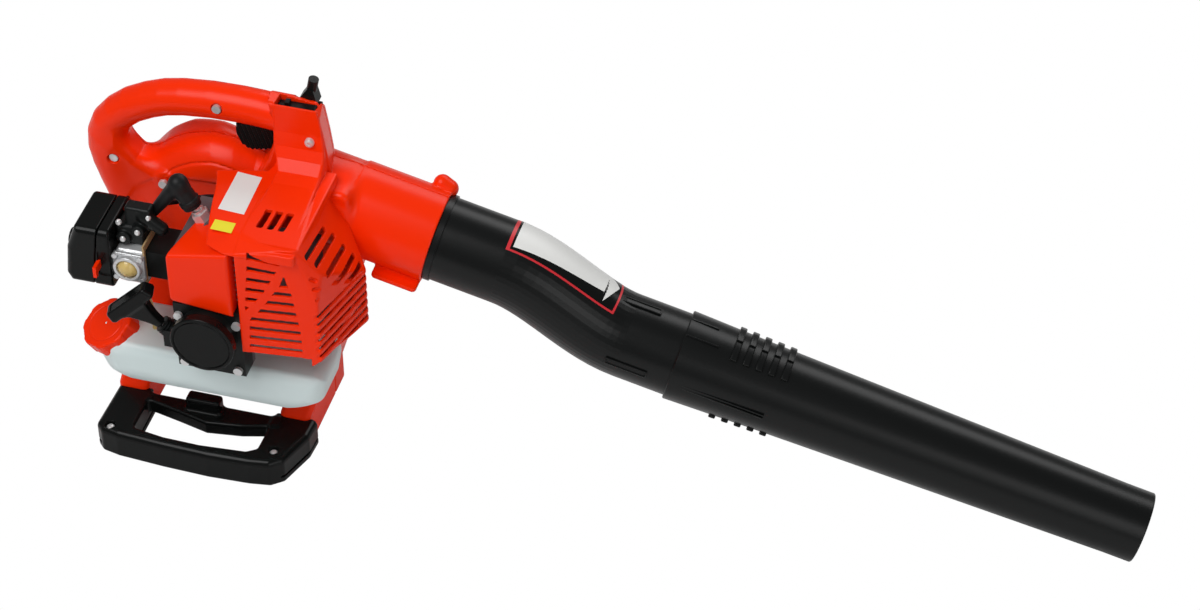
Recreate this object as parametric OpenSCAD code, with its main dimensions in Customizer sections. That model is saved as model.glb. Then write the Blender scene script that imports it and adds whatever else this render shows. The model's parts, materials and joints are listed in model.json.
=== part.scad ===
// Hand-held engine leaf blower: a fan case with a closed loop handle, a small two-stroke
// engine on its near side, a stand loop and two blower pipes.
// Machine axes: X forward along the pipes, Y along the crankshaft away from the starter, Z up.
// The model's origin is on the ground under the middle of its bounding box.

/* [Fan case] */
// Height of the crankshaft above the ground
crank_h = 185.5; // [184:0.5:200]
// Widest inner radius of the scroll, at the outlet
scroll_big_r = 105; // [100:1:110]
// Narrowest inner radius of the scroll
scroll_small_r = 80; // [78:1:84]
// Depth of the finger relief under the trigger
relief_depth = 18; // [8:1:19]
// Wall of the mouldings
wall = 3; // [2:0.5:3.5]
// Near wall of the fan space, as a Y position
fan_y0 = -14; // [-15:0.5:-12]
// Far wall of the fan space, as a Y position
fan_y1 = 33; // [31:1:38]
// Parting plane of the two case halves, as a Y position
split_y = 8; // [5:1:12]
// Radius of the air inlet
inlet_r = 46; // [42:1:52]

/* [Pipes] */
// How far the pipes slope down from the level
pitch = 13.9; // [12:0.1:14]
// Distance of the outlet's axis from the crankshaft
outlet_off = 73; // [70:1:76]
// Bore of the outlet collar
collar_bore_d = 75.4; // [74:0.2:77]
// Outside diameter of the outlet neck and collar
collar_d = 82; // [80.6:0.2:86]
// Distance of the collar's end from the crankshaft, along the pipes
collar_s = 150; // [140:1:160]
// Outside diameter of the curved pipe
pipe_d = 74.6; // [70:0.2:75]
// Wall of the pipes
pipe_wall = 2; // [1.5:0.25:3]
// How far the pipes step down at the bend
bend_drop = 31.8; // [26:0.2:34]
// Length of the curved pipe's first straight, from the collar
first_straight = 62; // [50:1:80]
// Length of the bend along the pipes
bend_len = 120; // [110:1:140]
// Distance from the collar's end to the nozzle's sleeve
sleeve_s = 229; // [222:1:240]
// Length of the nozzle's sleeve over the curved pipe
sleeve_len = 78; // [60:1:90]
// Outside diameter of the nozzle's sleeve
sleeve_d = 80.4; // [80.4:0.2:84]
// Distance from the collar's end to the nozzle's tip
tip_s = 655; // [600:1:656]
// Outside diameter of the nozzle's tip
tip_d = 63; // [58:0.5:66]
// Length of the straight land at the nozzle's tip
tip_land = 25; // [16:1:40]

/* [Handle] */
// Thickness of the handle bar
grip_d = 32; // [28:1:36]
// Radius of the handle's rear bend
bend_r = 70; // [66:1:74]
// Height of the handle bar's middle above the crankshaft
grip_rise = 143.5; // [140:0.5:150]
// Centre of the rear bend, along X
bend_x = -66; // [-70:1:-62]
// Depth of the trigger slot and width of the trigger
trigger_w = 13; // [10:1:16]
// Trigger travel in degrees
trigger_swing = 16; // [8:1:20]

/* [Engine] */
// Y position of the cylinder's axis
cyl_y = -84; // [-84.5:0.5:-83.5]
// Cylinder bore
bore_d = 34; // [32:0.5:35]
// Piston stroke
stroke = 28; // [26:1:28]
// Length of the connecting rod between its centres
rod_len = 50; // [49:0.5:50]
// Diameter of the crankshaft
shaft_d = 12; // [10:0.5:12]
// Radius of the crank webs
web_r = 23; // [21:0.5:24]
// Thickness of each crank web
web_t = 9; // [7:0.5:9]
// Number of cooling fins on the cylinder
fin_count = 8; // [5:1:9]
// Height of the carburettor's axis above the crankshaft
carb_rise = 44.5; // [43:0.5:45]
// Diameter of the primer bulb
primer_d = 19; // [15:0.5:21]
// Travel of the primer bulb
primer_stroke = 4; // [2:0.5:5]

/* [Fan] */
// Outer radius of the impeller
fan_r = 74; // [68:1:76]
// Number of impeller blades
blade_count = 16; // [8:1:18]
// Axial width of the blades
blade_w = 30; // [24:1:32]

/* [Starter] */
// Radius of the round starter disc
disc_r = 28.5; // [26:0.5:30]
// Y position of the starter disc's face
starter_y = -150; // [-152:0.5:-149]
// Length of the pull grip across
grip_bar = 54; // [46:1:60]
// Diameter of the starter rope
rope_d = 3.2; // [2.6:0.1:3.6]
// Radius on which the rope winds
pulley_r = 20; // [18:0.5:21]

/* [Tank and stand] */
// Length of the fuel tank
tank_l = 204; // [190:1:208]
// Lowest point of the fuel tank above the ground
tank_z = 72; // [66:1:74]
// Diameter of the fuel cap over its ribs
cap_d = 44; // [40:0.5:46]
// Height of the fuel cap
cap_h = 21; // [18:0.5:24]
// Width of the stand loop's bars
bar_w = 27; // [24:0.5:30]
// Height of the stand loop's bars
bar_h = 29; // [26:0.5:32]

/* [Hidden] */
$fn = 48;
hull_fn = 32;

// Clearances
run_gap = 0.05;
seat_gap = 0.3;

// Overall reach, which puts the origin under the middle of the model
handle_rear_x = bend_x - bend_r - grip_d / 2;
tip_off = outlet_off - bend_drop;
tip_reach = (collar_s + tip_s) * cos(pitch) + (tip_off + tip_d / 2) * sin(pitch);
frame_x = -(handle_rear_x + tip_reach) / 2;
guard_rise = 42;
guard_y1 = fan_y1 + wall + guard_rise;
frame_y = -(starter_y + guard_y1) / 2;

// Colours
orange = [1.0, 0.23, 0.04];
black = [0.06, 0.065, 0.065];
steel = [0.72, 0.73, 0.74];
alloy = [0.66, 0.67, 0.68];
tank_white = [0.82, 0.87, 0.86];

// Fan case
case_y0 = fan_y0 - wall;
case_y1 = fan_y1 + wall;
scroll_step = 6;
outlet_angle = 90 - pitch;
relief_angle = 89;
relief_spread = 11;
neck_s = 22;
collar_len = 62;
leg_y0 = -62;
leg_h = 30;
grip_z = crank_h + grip_rise;

// Handle and controls
front_x = 24;
post_w = 34;
switch_x = 29;
switch_l = 33;
switch_depth = 14;
trigger_x = 24;
trigger_back = 38;
pivot_x = 27;
pivot_z = grip_z - 19;
pin_d = 4;
pin_reach = trigger_w / 2 + 2;
lever_x = 52;
lever_z = grip_z + 1;
lever_d = 6;

// Screws
screw_d = 4;
head_d = 8;
screw_boss_d = 11;
plate_x = 30.5;
plate_drop = 45;
plate_rise = 26;
plate_screw_at = [[-24, -39], [24, -39], [-26, 13], [26, 13]];
// Each case screw: its place from the crankshaft in X and Z, and its seat and tip along Y
case_screw_at = [
    [-24, 146, -13, 13],
    [60, 131, -14, 13],
    [-124, 72, -13, 13],
    [-77, 58, case_y0 - 4, case_y0 + 2],
    [84, 73, -44, -38.5]
];

// Engine
crank_y0 = -114;
crank_y1 = -55;
crank_case_r = 28;
rod_w = 8;
pin_r = 5;
web_gap = rod_w + 2;
tdc_z = crank_h + stroke / 2 + rod_len;
crown_h = 11;
skirt_h = 12;
head_z = tdc_z + crown_h + 1;
cyl_z0 = crank_h + crank_case_r;
fin_x = 30;
fin_y0 = -121;
fin_y1 = -50;
carb_z = crank_h + carb_rise;
carb_y = -93;
ins_x = -60;
carb_x = -87;
box_x = -105;
cover_x = -131;
plug_tilt = 25;
plug_x = -11;
plug_z = head_z - 2;
exhaust_z = tdc_z - 5.5;

// Starter
starter_y0 = -141;
starter_y1 = -131;
hub_r = 25;
drum_r = 26;
rope_y = -124;
guide_x = -42;
guide_z = crank_h - 10;
rope_run = 32;
rope_lean = 44;
rope_turn = 18;
grip_twist = -8;

// Covers
cover_y0 = -134;
cover_y1 = -44.3;
deck_z = 290;
cover_wall = 2.5;

// Fuel cap
cap_x = -112;
cap_y = -92;
cap_z = 133;
cap_tilt = 30;
cap_turn = 225;
cap_lift_gap = 1.2;

// ---------- helpers ----------

// Moves the machine axes so that the origin is under the middle of the model
module place() {
    translate([frame_x, frame_y, 0])
        children();
}

// Extrudes a drawing in X and Z from y0 to y1
module along_y(y0, y1) {
    translate([0, y1, 0])
        rotate([90, 0, 0])
            linear_extrude(y1 - y0)
                children();
}

// A round bar along Y from y0 to y1
module rod_y(x, z, y0, y1, d) {
    translate([x, y1, z])
        rotate([90, 0, 0])
            cylinder(d = d, h = y1 - y0);
}

// A box given by its low and high corners
module block(low, high) {
    translate(low)
        cube(high - low);
}

// Puts children on the outlet's axis, at a distance s from the crankshaft and drop below it
module on_outlet(s, drop = 0) {
    translate([0, 0, crank_h])
        rotate([0, 90 + pitch, 0])
            translate([drop - outlet_off, 0, s])
                children();
}

// Half space on the near side of the parting plane, or on the far side
module near_side() {
    block([-400, -400, -50], [500, split_y, 500]);
}

module far_side() {
    block([-400, split_y, -50], [500, 400, 500]);
}

// ---------- fan case ----------

// Inner radius of the scroll at an angle, growing towards the outlet
function scroll_r(a) =
    scroll_big_r - (scroll_big_r - scroll_small_r) * (a - outlet_angle) / 360
    - relief_depth * exp(-pow((a - relief_angle) / relief_spread, 2));

module scroll_shape(grow) {
    points = [
        for (a = [outlet_angle : scroll_step : outlet_angle + 360 - scroll_step])
            [(scroll_r(a) + grow) * cos(a), crank_h + (scroll_r(a) + grow) * sin(a)]
    ];
    polygon(points);
}

// The handle's bar: a straight over the case and a round bend at the rear
module handle_bar(d, reach) {
    translate([bend_x, 0, grip_z])
        rotate([0, 90, 0])
            cylinder(d = d, h = reach - bend_x);
    translate([bend_x, 0, grip_z - bend_r])
        rotate([90, 0, 0])
            rotate([0, 0, 90])
                rotate_extrude(angle = 132, $fn = 96)
                    translate([bend_r, 0])
                        circle(d = d);
}

// A point at a distance s along the outlet and p out from the crankshaft, in X and Z
function outlet_point(s, p) = [
    s * cos(pitch) + p * sin(pitch),
    crank_h - s * sin(pitch) + p * cos(pitch)
];

// Where the scroll's end widens into the round neck
module throat_shape(grow, end_s) {
    top_p = scroll_r(outlet_angle) + grow;
    polygon([
        outlet_point(-grow / 2, 45),
        outlet_point(-grow / 2, top_p),
        outlet_point(end_s, outlet_off + collar_d / 2 - wall + grow),
        outlet_point(end_s, outlet_off - collar_d / 2 + wall - grow),
        outlet_point(12, 45 - grow)
    ]);
}

// The web that joins the handle's rear bend to the scroll
module web_shape() {
    polygon([
        [-114, crank_h + 103],
        [-90, crank_h + 78],
        [-76, crank_h + 62],
        [-82, crank_h + 12],
        [-96, crank_h - 4],
        [-118, crank_h + 4],
        [-131, crank_h + 26],
        [bend_x - bend_r, crank_h + 60],
        [bend_x - bend_r + 2, crank_h + 85]
    ]);
}

module post_shape() {
    polygon([
        [22, crank_h + 163],
        [62, crank_h + 158],
        [70, crank_h + 141],
        [77, crank_h + 112],
        [80, crank_h + 84],
        [58, crank_h + 72],
        [8, crank_h + 80],
        [16, crank_h + 100],
        [22, crank_h + 126]
    ]);
}

module foot(x_low, x_top, top_z) {
    hull() {
        block([x_low, leg_y0, 0], [x_low + 29, case_y1, leg_h]);
        block([x_top, case_y0, top_z - 10], [x_top + 31, case_y1, top_z]);
    }
}

module case_solid() {
    along_y(case_y0, case_y1) {
        scroll_shape(wall);
        throat_shape(wall, neck_s + 2 * wall);
    }
    on_outlet(neck_s)
        cylinder(d = collar_d, h = collar_s - neck_s, $fn = 96);
    on_outlet(collar_s - 8)
        translate([-collar_d / 2 + 3, -8, 0])
            rotate([0, -22, 0])
                translate([-12, 0, 0])
                    cube([12, 13, 8]);
    handle_bar(grip_d, front_x + 8);
    along_y(-grip_d / 2 + 1, grip_d / 2 - 1)
        web_shape();
    along_y(-post_w / 2, post_w / 2)
        post_shape();
    foot(-125, -106, crank_h - 50);
    foot(28, 52, crank_h - 62);
    for (s = case_screw_at)
        rod_y(s[0], crank_h + s[1], s[2], s[3] + 1, screw_boss_d);
    for (x = [-106, 55])
        block([x, tank_y1 + seat_gap, 98], [x + 26, case_y0 + 1, 112]);
}

module case_hollow() {
    along_y(fan_y0, fan_y1) {
        scroll_shape(0);
        throat_shape(0, neck_s + wall + 1);
    }
    on_outlet(neck_s + wall)
        cylinder(d = collar_d - 2 * wall, h = collar_s - collar_len - neck_s - wall, $fn = 96);
    on_outlet(collar_s - collar_len)
        cylinder(d = collar_bore_d, h = collar_len + 20, $fn = 96);
    difference() {
        handle_bar(grip_d - 2 * wall, front_x - 2);
        block([-200, -60, 0], [200, 60, crank_h + 36]);
    }
    along_y(-post_w / 2 + wall, post_w / 2 - wall)
        intersection() {
            offset(delta = -wall)
                post_shape();
            translate([0, crank_h + 116])
                square([100, grip_rise - 6 - 116]);
        }
    block([switch_x, -switch_depth, grip_z + 6], [switch_x + switch_l, 0, grip_z + 40]);
    block(
        [trigger_x - trigger_back - 2, -trigger_w / 2 - seat_gap, grip_z - 40],
        [pivot_x + 7, trigger_w / 2 + seat_gap, grip_z]
    );
    rod_y(pivot_x, pivot_z, -pin_reach - 0.1, pin_reach + 0.1, pin_d + 2 * run_gap);
    block([38, 3, grip_z - 3], [61, 15.5, grip_z + 40]);
    rod_y(lever_x, lever_z, -12.1, 16, lever_d + 2 * run_gap);
    rod_y(bend_x - bend_r, crank_h + 75, -grip_d, 0, 6);
}

module case_whole() {
    difference() {
        case_solid();
        case_hollow();
        for (s = case_screw_at) {
            rod_y(s[0], crank_h + s[1], s[2] - 1, s[3] + 0.5, screw_d + 0.6);
            rod_y(s[0], crank_h + s[1], s[2] - 40, s[2], head_d + 1);
        }
    }
}

module fan_case_near() {
    place() color(orange)
        difference() {
            intersection() {
                case_whole();
                near_side();
            }
            rod_y(0, crank_h, case_y0 - 1, fan_y0 + 1, shaft_d + 8);
        }
}

module fan_case_far() {
    place() color(orange)
        difference() {
            intersection() {
                case_whole();
                far_side();
            }
            rod_y(0, crank_h, fan_y1 - 1, case_y1 + 1, inlet_r * 2);
        }
}

module intake_guard() {
    rings = 5;
    ribs = 12;
    y0 = case_y1;
    outer_r = inlet_r + 10;
    place() color(black) {
        difference() {
            rod_y(0, crank_h, y0, y0 + 5, outer_r * 2);
            rod_y(0, crank_h, y0 - 1, y0 + 6, (outer_r - 8) * 2);
        }
        difference() {
            translate([0, y0 + 4, crank_h])
                rotate([-90, 0, 0])
                    cylinder(r1 = outer_r - 5, r2 = 34, h = guard_rise - 4);
            translate([0, y0 + 3, crank_h])
                rotate([-90, 0, 0])
                    cylinder(r1 = outer_r - 8, r2 = 31, h = guard_rise - 6);
            for (i = [0 : ribs - 1])
                translate([0, 0, crank_h])
                    rotate([0, 360 * (i + 0.5) / ribs, 0])
                        block([16, y0 + 9, -4.5], [80, y0 + guard_rise - 7, 4.5]);
            for (i = [0 : rings - 1])
                block(
                    [-26 + i * 11.5, y0 + guard_rise - 10, crank_h - 20],
                    [-20 + i * 11.5, y0 + guard_rise + 5, crank_h + 20]
                );
        }
    }
}

// ---------- fan ----------

module impeller() {
    y0 = fan_y0 + 3;
    place() color([0.12, 0.12, 0.12])
        difference() {
            union() {
                rod_y(0, crank_h, y0, y0 + 3, fan_r * 2);
                rod_y(0, crank_h, y0, y0 + 20, 26);
                for (i = [0 : blade_count - 1])
                    translate([0, 0, crank_h])
                        rotate([0, 360 * i / blade_count, 0])
                            translate([30, 0, 0])
                                rotate([0, 28, 0])
                                    block([0, y0 + 1, -1], [fan_r - 32, y0 + blade_w, 1]);
            }
            rod_y(0, crank_h, y0 - 1, y0 + 21, shaft_d + 2 * run_gap);
            for (i = [0 : 5])
                rod_y(52 * cos(i * 60), crank_h + 52 * sin(i * 60), y0 - 1, y0 + 0.6, 4);
        }
}

module impeller_nut() {
    y0 = fan_y0 + 23;
    place() color(steel)
        difference() {
            translate([0, y0, crank_h])
                rotate([-90, 0, 0])
                    cylinder(d = 19, h = 7, $fn = 6);
            rod_y(0, crank_h, y0 - 1, y0 + 8, shaft_d - 2 + 2 * run_gap);
        }
}

// ---------- engine ----------

module crankcase() {
    y_in0 = crank_y0 + 7;
    y_in1 = crank_y1 - 7;
    place() color(alloy)
        difference() {
            union() {
                rod_y(0, crank_h, crank_y0, crank_y1, crank_case_r * 2);
                block([-24, cyl_y - 24, crank_h], [24, cyl_y + 24, cyl_z0]);
                block(
                    [-plate_x, crank_y0, crank_h - plate_drop],
                    [plate_x, crank_y0 + 6, crank_h + plate_rise]
                );
                for (x = [-28, 28], z = [-19, 19]) {
                    rod_y(x, crank_h + z, crank_y1 - 12, crank_y1, 16);
                    rod_y(x, crank_h + z, crank_y1 - 1, case_y0, 12);
                }
            }
            rod_y(0, crank_h, y_in0, y_in1, (web_r + 1.5) * 2);
            translate([0, cyl_y, crank_h])
                cylinder(d = bore_d + 1, h = 80);
            rod_y(0, crank_h, crank_y0 - 1, crank_y1 + 1, 28 + 2 * run_gap);
            for (s = plate_screw_at)
                rod_y(s[0], crank_h + s[1], crank_y0 - 1, crank_y0 + 7, screw_d + 2 * run_gap);
        }
}

module finned_cylinder() {
    fin_t = 2;
    fin_gap = (head_z + 2 - cyl_z0 - 6) / fin_count;
    place() color(black)
        difference() {
            union() {
                translate([0, cyl_y, cyl_z0])
                    cylinder(d = bore_d + 8, h = head_z + 3.5 - cyl_z0);
                for (i = [0 : fin_count])
                    block(
                        [-fin_x, fin_y0, cyl_z0 + 4 + i * fin_gap],
                        [fin_x, fin_y1, cyl_z0 + 4 + i * fin_gap + fin_t]
                    );
                block([-fin_x, cyl_y - 24, cyl_z0], [fin_x, cyl_y + 24, cyl_z0 + 5]);
                block([-fin_x, carb_y - 14, cyl_z0], [0, carb_y + 14, carb_z + 12]);
                block([0, cyl_y - 14, exhaust_z - 12], [fin_x, cyl_y + 14, exhaust_z + 12]);
                plug_axis()
                    cylinder(d = 22, h = 10);
            }
            translate([0, cyl_y, cyl_z0 - 1])
                cylinder(d = bore_d, h = head_z - cyl_z0 + 1);
            translate([-fin_x, carb_y, carb_z])
                rotate([0, 108, 0])
                    translate([0, 0, -6])
                        cylinder(d = 14, h = 24);
            translate([8, cyl_y, exhaust_z])
                rotate([0, 90, 0])
                    cylinder(d = 12, h = fin_x);
            plug_axis() {
                translate([0, 0, -10])
                    cylinder(d = 10.1, h = 40);
                translate([0, 0, 10])
                    cylinder(d = 24, h = 30);
            }
        }
}

module piston() {
    place() color(alloy)
        difference() {
            translate([0, cyl_y, tdc_z - skirt_h])
                cylinder(d = bore_d - 2 * run_gap, h = skirt_h + crown_h);
            translate([0, cyl_y, tdc_z - skirt_h - 1])
                cylinder(d = bore_d - 7, h = skirt_h + crown_h - 4);
            rod_y(0, tdc_z, cyl_y - 30, cyl_y + 30, 8 + 2 * run_gap);
            translate([0, cyl_y, tdc_z + 6])
                difference() {
                    cylinder(d = bore_d + 1, h = 1.6);
                    translate([0, 0, -1])
                        cylinder(d = bore_d - 4, h = 4);
                }
        }
}

module piston_ring() {
    place() color(steel)
        translate([0, cyl_y, tdc_z + 6.1])
            difference() {
                cylinder(d = bore_d - 2 * run_gap, h = 1.4);
                translate([0, 0, -1])
                    cylinder(d = bore_d - 3.8, h = 4);
                translate([0, -0.2, -1])
                    cube([30, 0.4, 4]);
            }
}

module wrist_pin() {
    place() color(steel)
        rod_y(0, tdc_z, cyl_y - bore_d / 2 + 3, cyl_y + bore_d / 2 - 3, 8);
}

module connecting_rod() {
    big_z = crank_h + stroke / 2;
    place() color(steel)
        difference() {
            union() {
                rod_y(0, big_z, cyl_y - rod_w / 2, cyl_y + rod_w / 2, pin_r * 2 + 6);
                rod_y(0, tdc_z, cyl_y - rod_w / 2, cyl_y + rod_w / 2, 11);
                block([-3.5, cyl_y - 2.5, big_z + 6], [3.5, cyl_y + 2.5, tdc_z - 5]);
            }
            rod_y(0, big_z, cyl_y - 10, cyl_y + 10, pin_r * 2 + 2 * run_gap);
            rod_y(0, tdc_z, cyl_y - 10, cyl_y + 10, 8 + 2 * run_gap);
        }
}

module crank_pin() {
    place() color(steel)
        rod_y(
            0, crank_h + stroke / 2,
            cyl_y - web_gap / 2 + seat_gap, cyl_y + web_gap / 2 - seat_gap, pin_r * 2
        );
}

module crankshaft() {
    place() color(steel) {
        rod_y(0, crank_h, cyl_y + web_gap / 2, cyl_y + web_gap / 2 + web_t, web_r * 2);
        rod_y(0, crank_h, cyl_y + web_gap / 2 + web_t, fan_y0 + 23, shaft_d);
        rod_y(0, crank_h, fan_y0 + 22, fan_y0 + 33, shaft_d - 2);
        rod_y(0, crank_h, cyl_y - web_gap / 2 - web_t, cyl_y - web_gap / 2, web_r * 2);
        rod_y(0, crank_h, rope_y + 10, cyl_y - web_gap / 2 - web_t, shaft_d);
    }
}

// The two bearing seats in the crankcase, each a low and a high Y position
bearing_y = [[crank_y0 + 5, crank_y0 + 13], [crank_y1 - 13, crank_y1 - 5]];

module crank_bearings() {
    place() color(steel)
        for (b = bearing_y)
            difference() {
                rod_y(0, crank_h, b[0], b[1], 28);
                rod_y(0, crank_h, b[0] - 1, b[1] + 1, shaft_d + 2 * run_gap);
            }
}

module crank_seals() {
    place() color([0.35, 0.16, 0.1])
        for (y = [crank_y0, crank_y1 - 5])
            difference() {
                rod_y(0, crank_h, y, y + 4.7, 28);
                rod_y(0, crank_h, y - 1, y + 6, shaft_d + 2 * run_gap);
            }
}

module flywheel() {
    place() color(alloy)
        difference() {
            rod_y(0, crank_h, crank_y1 + 3, case_y0 - 2, 54);
            rod_y(0, crank_h, crank_y1, case_y0, shaft_d + 2 * run_gap);
            for (x = [-1, 1])
                rod_y(x * 20, crank_h, crank_y1, crank_y1 + 12, 9);
        }
}

module ignition_coil() {
    place() color(black) {
        block([-20, -44, crank_h + 34], [-2, case_y0, crank_h + 56]);
        block([-18, -42, crank_h + 27.4], [-4, -24, crank_h + 35]);
        block([-13, -38, crank_h + 55], [-7, -24, crank_h + 66]);
    }
}

module plug_axis() {
    translate([plug_x, cyl_y, plug_z])
        rotate([0, -plug_tilt, 0])
            children();
}

module spark_plug() {
    place() color(steel)
        plug_axis() {
            translate([0, 0, 4.5])
                cylinder(d = 10, h = 5.6);
            translate([0, 0, 10])
                cylinder(d = 16, h = 8, $fn = 6);
            translate([0, 0, 18])
                cylinder(d = 11, h = 3);
            translate([0, 0, 21])
                cylinder(d = 7.5, h = 20);
        }
}

module plug_boot() {
    elbow = 53;
    place() color(black)
        difference() {
            union() {
                plug_axis()
                    translate([0, 0, 26])
                        cylinder(d1 = 13, d2 = 12, h = elbow - 26);
                plug_axis()
                    translate([0, 0, elbow]) {
                        sphere(d = 14);
                        rotate([0, plug_tilt - 147, 0])
                            cylinder(d1 = 12, d2 = 8, h = 26);
                    }
            }
            plug_axis()
                cylinder(d = 7.6, h = 42);
        }
}

// Where the ignition lead runs, from the boot's end to the coil
lead_points = [
    [-47.8, -84, 285.6],
    [-51, -83, 280.5],
    [-54, -79, 274],
    [-55, -70, 266],
    [-50, -58, 259],
    [-42, -46, 254],
    [-32, -36, 250],
    [-22, -31, 248],
    [-13, -31, 248]
];

module ignition_lead() {
    place() color(black)
        lead_tube(lead_points, 2.5, 8, [1, 0, 1]);
}

// A thin cord through points, with a ring at each; ref is a direction it never runs along
module lead_tube(path, r, sides, ref) {
    count = len(path);
    dirs = [
        for (i = [0 : count - 1])
            let (d = path[min(i + 1, count - 1)] - path[max(i - 1, 0)])
            d / norm(d)
    ];
    points = [
        for (i = [0 : count - 1], k = [0 : sides - 1])
            let (
                side = cross(dirs[i], ref),
                u = side / norm(side),
                v = cross(u, dirs[i]),
                a = 360 * k / sides
            )
            path[i] + r * (cos(a) * u + sin(a) * v)
    ];
    faces = [
        for (i = [0 : count - 2], k = [0 : sides - 1])
            let (m = (k + 1) % sides)
            each [
                [i * sides + k, i * sides + m, (i + 1) * sides + m],
                [i * sides + k, (i + 1) * sides + m, (i + 1) * sides + k]
            ]
    ];
    first = [for (k = [sides - 1 : -1 : 0]) k];
    last = [for (k = [0 : sides - 1]) (count - 1) * sides + k];
    polyhedron(points, concat([first], faces, [last]));
}

muffler_x = fin_x + 2;

module muffler() {
    place() color([0.55, 0.55, 0.56])
        difference() {
            union() {
                block([muffler_x, -118, crank_h - 10], [84, -69, crank_h + 76]);
                translate([78, -94, crank_h + 12])
                    rotate([0, 90, 0])
                        cylinder(d = 16, h = 16);
            }
            block([muffler_x + 2, -116, crank_h - 8], [82, -71, crank_h + 74]);
            translate([muffler_x - 1, cyl_y, exhaust_z])
                rotate([0, 90, 0])
                    cylinder(d = 12, h = 4);
            translate([70, -94, crank_h + 12])
                rotate([0, 90, 0])
                    cylinder(d = 11, h = 40);
        }
}

module muffler_gasket() {
    place() color([0.5, 0.48, 0.4])
        difference() {
            block([fin_x, cyl_y - 14, exhaust_z - 12], [muffler_x, cyl_y + 14, exhaust_z + 12]);
            translate([fin_x - 1, cyl_y, exhaust_z])
                rotate([0, 90, 0])
                    cylinder(d = 12, h = 6);
        }
}

// ---------- intake ----------

module bored_block(x0, x1, half_y, half_z, bore) {
    difference() {
        block([x0, carb_y - half_y, carb_z - half_z], [x1, carb_y + half_y, carb_z + half_z]);
        translate([x0 - 1, carb_y, carb_z])
            rotate([0, 90, 0])
                cylinder(d = bore, h = x1 - x0 + 2);
    }
}

module insulator() {
    place() color(black)
        bored_block(ins_x, -fin_x, 17, 14, 14);
}

module intake_gasket() {
    place() color([0.75, 0.62, 0.4])
        bored_block(ins_x - 1.5, ins_x, 20, 21, 14);
}

module carburettor() {
    x1 = ins_x - 1.5;
    place() color(alloy)
        difference() {
            union() {
                block([carb_x, carb_y - 19, carb_z - 13], [x1, carb_y + 19, carb_z + 15]);
                block([carb_x + 3, carb_y - 21, carb_z - 25], [x1 - 4, carb_y + 15, carb_z - 9]);
                rod_y((carb_x + x1) / 2, carb_z - 1, carb_y - 25, carb_y - 10, primer_d + 5);
            }
            translate([carb_x - 1, carb_y, carb_z])
                rotate([0, 90, 0])
                    cylinder(d = 12, h = 60);
            translate([(carb_x + x1) / 2 + 8, carb_y, carb_z])
                cylinder(d = 4 + 2 * run_gap, h = 40);
            rod_y((carb_x + x1) / 2, carb_z - 1, carb_y - 26, carb_y - 13, primer_d + 0.4);
        }
}

primer_x = (carb_x + ins_x - 1.5) / 2;

module primer_bulb() {
    place() color([0.85, 0.78, 0.45])
        translate([primer_x, carb_y - 17.3, carb_z - 1])
            rotate([90, 0, 0])
                intersection() {
                    cylinder(d = primer_d, h = 18);
                    translate([0, 0, 4])
                        sphere(d = primer_d + 1);
                }
}

module throttle_shaft() {
    x = primer_x + 8;
    place() color(steel) {
        translate([x, carb_y, carb_z - 5])
            cylinder(d = 4, h = 26);
        translate([x - 3, carb_y - 3, carb_z + 18])
            cube([6, 16, 2]);
        translate([x, carb_y + 11, carb_z + 16])
            cylinder(d = 4.5, h = 7);
    }
}

// Where the throttle cable runs, from the throttle arm up into the handle
cable_points = [
    [-66.3, -79, 251],
    [-68, -70, 254],
    [-74, -58, 258],
    [-86, -46, 261],
    [-102, -36, 262],
    [-118, -28, 261],
    [-130, -22, 260.5],
    [-135, -16, 260.5],
    [-136, -9, 261],
    [-136, -3, 265],
    [-134.9, 0, 272],
    [-130, 0, 287],
    [-119, 0, 305],
    [-104, 0, 318],
    [-86, 0, 326],
    [-66, 0, 329],
    [-44, 0, 325],
    [-20, 0, 322]
];

module throttle_cable() {
    place() color([0.1, 0.1, 0.1])
        lead_tube(cable_points, 2, 8, [1, -1, 1]);
}

module air_box() {
    place() color(black)
        difference() {
            block([box_x, carb_y - 29, carb_z - 27], [carb_x, carb_y + 27, carb_z + 28]);
            block([box_x - 1, carb_y - 26, carb_z - 24], [carb_x - 4, carb_y + 24, carb_z + 25]);
            translate([carb_x - 8, carb_y, carb_z])
                rotate([0, 90, 0])
                    cylinder(d = 14, h = 20);
            block([carb_x - 16, carb_y - 32, carb_z - 6], [carb_x - 8, carb_y - 20, carb_z + 18]);
        }
}

module air_filter() {
    place() color([0.3, 0.3, 0.28])
        block(
            [box_x - 8, carb_y - 25.7, carb_z - 23.7],
            [box_x + 4, carb_y + 23.7, carb_z + 24.7]
        );
}

module air_cover() {
    place() color(black)
        difference() {
            hull() {
                block([box_x - 3, carb_y - 30, carb_z - 28], [box_x, carb_y + 28, carb_z + 29]);
                block([cover_x, carb_y - 22, carb_z - 19], [cover_x + 3, carb_y + 18, carb_z + 17]);
            }
            block([cover_x + 12, carb_y - 26, carb_z - 24], [box_x + 1, carb_y + 24, carb_z + 25]);
            translate([cover_x - 1, carb_y, carb_z])
                rotate([0, 90, 0])
                    cylinder(d = 6 + 2 * run_gap, h = 20);
        }
}

module cover_knob() {
    place() color(black)
        translate([cover_x, carb_y, carb_z]) {
            translate([-3.5, 0, 0])
                rotate([0, 90, 0])
                    cylinder(d = 16, h = 3.2);
            translate([-1, 0, 0])
                rotate([0, 90, 0])
                    cylinder(d = 6, h = 18.7);
        }
}

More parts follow.
